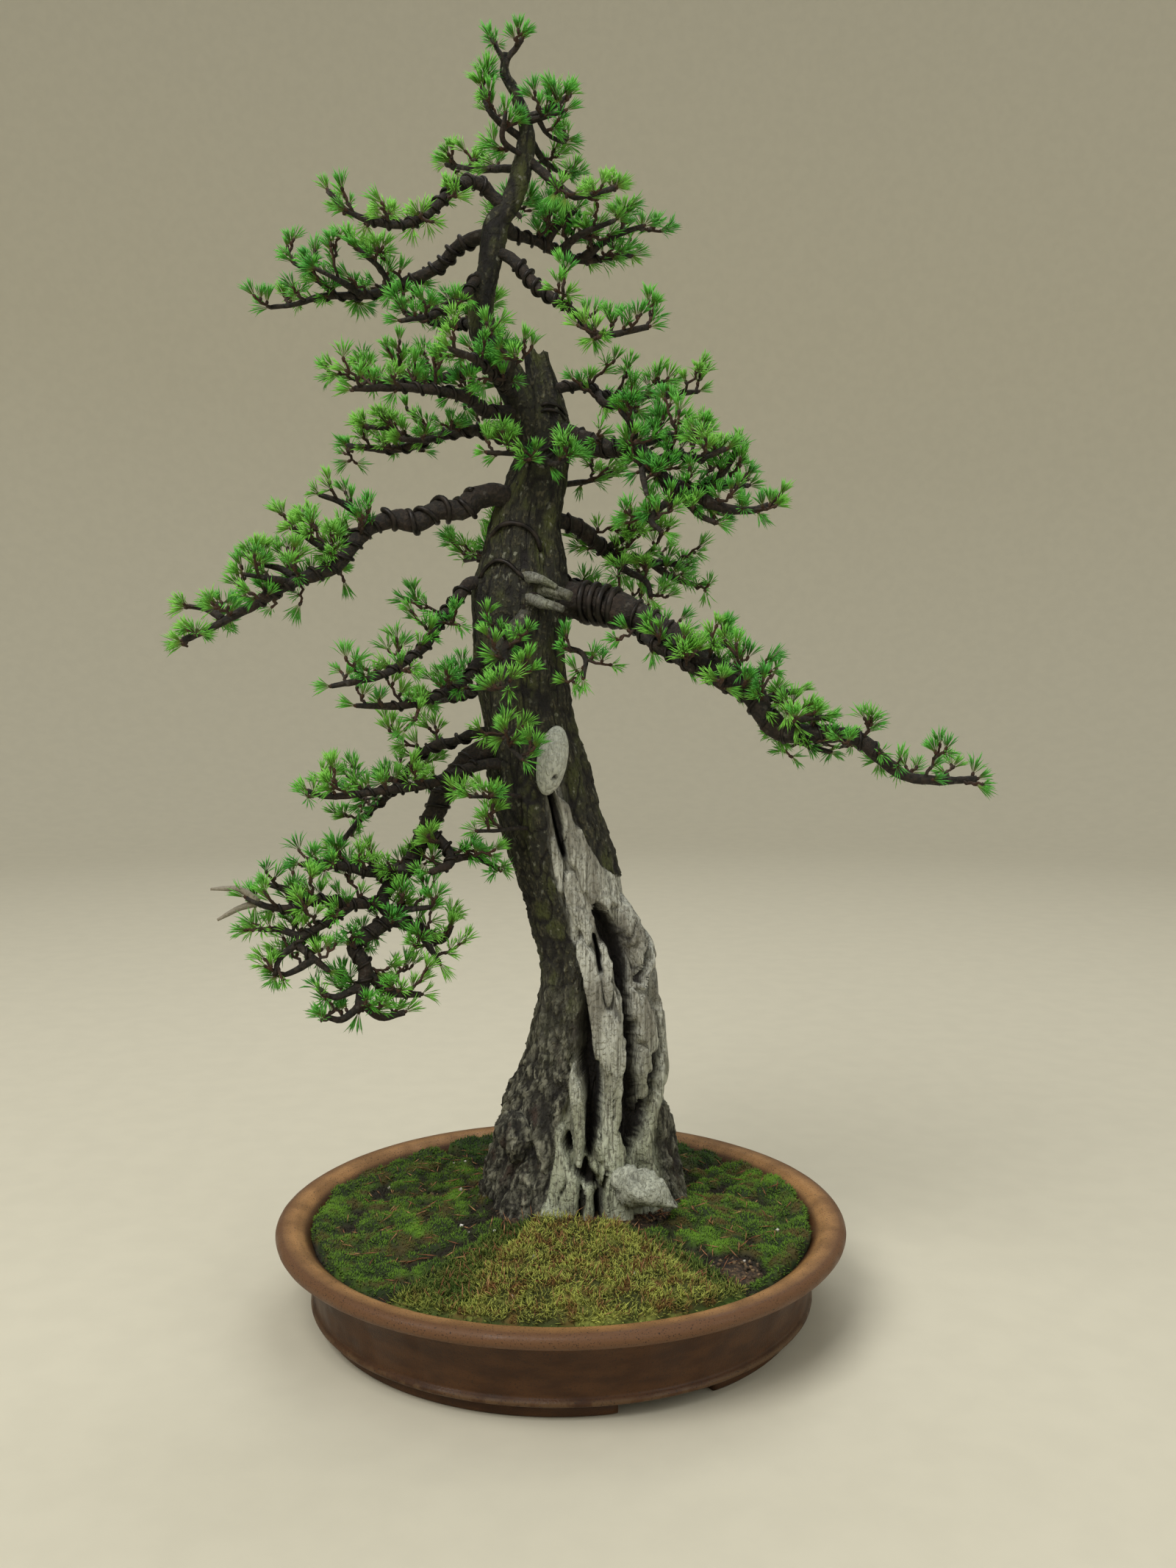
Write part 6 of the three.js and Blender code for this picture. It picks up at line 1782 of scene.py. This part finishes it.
class BONSAI_OT_soil(Operator):
    """Makes the soil, the grains and the fallen needles on it"""

    bl_idname = "bonsai.soil"
    bl_label = "Soil"

    def execute(self, context):
        settings = context.scene.bonsai_soil
        make_piece("soil_bed", [(soil_body(settings.pitch / MM), potting_soil(settings))], ["soil"])
        crumbs = grit("soil grains", settings.grain_dark, settings.grain_light)
        white = grit("white grit", settings.grit_dark, settings.grit_light)
        loose = [(grains(5000, 0.7, 2.1, 81), crumbs), (grains(22, 0.9, 2.2, 82, on_moss=True), white)]
        make_piece("soil_grains", loose)
        litter = fallen_needles(settings.fallen, 83)
        make_piece("fallen_needles", [(litter, dry_stalks(settings))])
        return {"FINISHED"}


class BONSAI_OT_trunk(Operator):
    """Makes the trunk with its bare wood, its leader and its burrs"""

    bl_idname = "bonsai.trunk"
    bl_label = "Trunk"

    def execute(self, context):
        finish = larch_trunk(context.scene.bonsai_trunk)
        make_piece("old_trunk", [(trunk_skin(), finish)], ["trunk"])
        make_piece("leader", [(leader_skin(), finish)])
        burrs = [(burr_skin(*burr, 90 + 2 * i), finish) for i, burr in enumerate(BURRS)]
        snags = [(snag_skin(*snag, 110 + 2 * i), finish) for i, snag in enumerate(SNAGS)]
        make_piece("burrs", burrs + snags)
        return {"FINISHED"}


class BONSAI_OT_branches(Operator):
    """Makes every branch with its twigs, buds and needles, and the wire round it"""

    bl_idname = "bonsai.branches"
    bl_label = "Branches"

    def execute(self, context):
        settings = context.scene.bonsai_branches
        bark, green, metal = branch_bark(settings), larch_needles(settings), anodised_wire(settings)
        for number, (name, branch) in enumerate(BRANCHES.items()):
            self.grow(name, branch, number, settings, bark, green)
            if branch.coil:
                coil = coil_skin(branch, *limb_route(branch), branch.coil, 20, 10, number)
                make_piece(f"coil_{name}", [(coil, metal)], [f"wire_{name}"])
        make_piece("fine_coils", [(fine_coils(settings), metal), (trunk_wires(), metal)])
        return {"FINISHED"}

    def grow(self, name, branch, number, settings, bark, green):
        """One branch: limbs, then twigs and buds on them, then a tuft of needles on every bud."""
        random = np.random.default_rng(100 + number)
        wood, twigs, places, ways = [], [], [], []
        for stretch, route, bare in stretches_of(branch):
            wood.append(limb_skin(stretch, route, 7 * number + len(wood)))
            stems = shoot_stems(stretch, route, bare, settings, random)
            for kept, new in zip((twigs, places, ways), stems):
                kept.extend(new)
        if twigs:
            paths = np.array(twigs)
            radii = np.tile(np.linspace(1.2, 0.75, paths.shape[1]), (len(paths), 1))
            redder = np.broadcast_to(np.linspace(0.1, 1, paths.shape[1]), radii.shape)
            wood.append(tubes(paths, radii, 5, {"plate": redder}))
        places, ways = np.array(places), np.array(ways)
        wood.append(buds(places, ways, random.uniform(0.3, 1, len(places))))
        needles = tufts(places, ways, settings, random)
        parts = [(joined(wood), bark), (needles, green)]
        make_piece(f"bough_{name}", parts, [f"branch_{name}"])


class BONSAI_OT_moss(Operator):
    """Makes the moss on the soil"""

    bl_idname = "bonsai.moss"
    bl_label = "Moss"

    def execute(self, context):
        settings = context.scene.bonsai_moss
        pitch = settings.pitch / MM
        gold = living_moss("golden feather moss", settings.gold_dark, settings.gold, settings.gold_dry,
                           settings.gold_thin, 17, 6.5)
        green = living_moss("green cushion moss", settings.green_dark, settings.green, settings.green_dry,
                            settings.valley, 24)
        # The patch at the back gets a darker copy of the cushion moss: painted shade.
        shade = living_moss("shaded cushion moss", settings.shade_dark, settings.shade, settings.shade_dry,
                            settings.valley, 24)
        dry = dry_stalks(context.scene.bonsai_soil)
        feathers = moss_shoots("moss_mound", settings.feather_shoots, 6, 0.75, 0.85, 201, True)
        stalks = moss_shoots("moss_mound", settings.stalks, 10, 0.6, 0.3, 202, True)
        mound = [(moss_sheet("moss_mound", pitch), gold), (feathers, gold), (stalks, dry)]
        make_piece("mound_moss", mound, ["moss_mound"])
        patches = [("moss_right", "right_moss", "moss_green", green, 1),
                   ("moss_left", "left_moss", "moss_green", green, 1),
                   ("moss_back", "back_moss", "moss_dark", shade, 0.75)]
        for seed, (node, name, slot, finish, share) in enumerate(patches):
            count = round(share * settings.cushion_shoots)
            shoots = moss_shoots(node, count, 2.8, 1.1, 0.35, 210 + seed, False)
            make_piece(name, [(moss_sheet(node, pitch), finish), (shoots, finish)], [node])
        return {"FINISHED"}


class BONSAI_PT_parts(Panel):
    """Lists the parts of the bonsai"""

    bl_idname = "BONSAI_PT_parts"
    bl_label = "Bonsai"
    bl_space_type = "VIEW_3D"
    bl_region_type = "UI"
    bl_category = "Bonsai"

    def draw(self, context):
        for part in PARTS:
            self.layout.operator(part.bl_idname)


SETTINGS = {
    "bonsai_stage": StageSettings,
    "bonsai_pot": PotSettings,
    "bonsai_soil": SoilSettings,
    "bonsai_trunk": TrunkSettings,
    "bonsai_branches": BranchSettings,
    "bonsai_moss": MossSettings,
}
PARTS = [BONSAI_OT_stage, BONSAI_OT_pot, BONSAI_OT_soil, BONSAI_OT_trunk, BONSAI_OT_branches, BONSAI_OT_moss]
CLASSES = [*SETTINGS.values(), *PARTS, BONSAI_PT_parts]


def register():
    """Registers the classes and gives every scene its settings."""
    for each in CLASSES:
        bpy.utils.register_class(each)
    for name, group in SETTINGS.items():
        setattr(bpy.types.Scene, name, PointerProperty(type=group))


def unregister():
    """Takes the settings and the classes away again."""
    for name in SETTINGS:
        delattr(bpy.types.Scene, name)
    for each in reversed(CLASSES):
        bpy.utils.unregister_class(each)


def main():
    """Makes every part in order."""
    register()
    bpy.ops.bonsai.stage()
    bpy.ops.bonsai.pot()
    bpy.ops.bonsai.soil()
    bpy.ops.bonsai.trunk()
    bpy.ops.bonsai.branches()
    bpy.ops.bonsai.moss()
    bpy.context.view_layer.update()


if __name__ == "__main__":
    main()
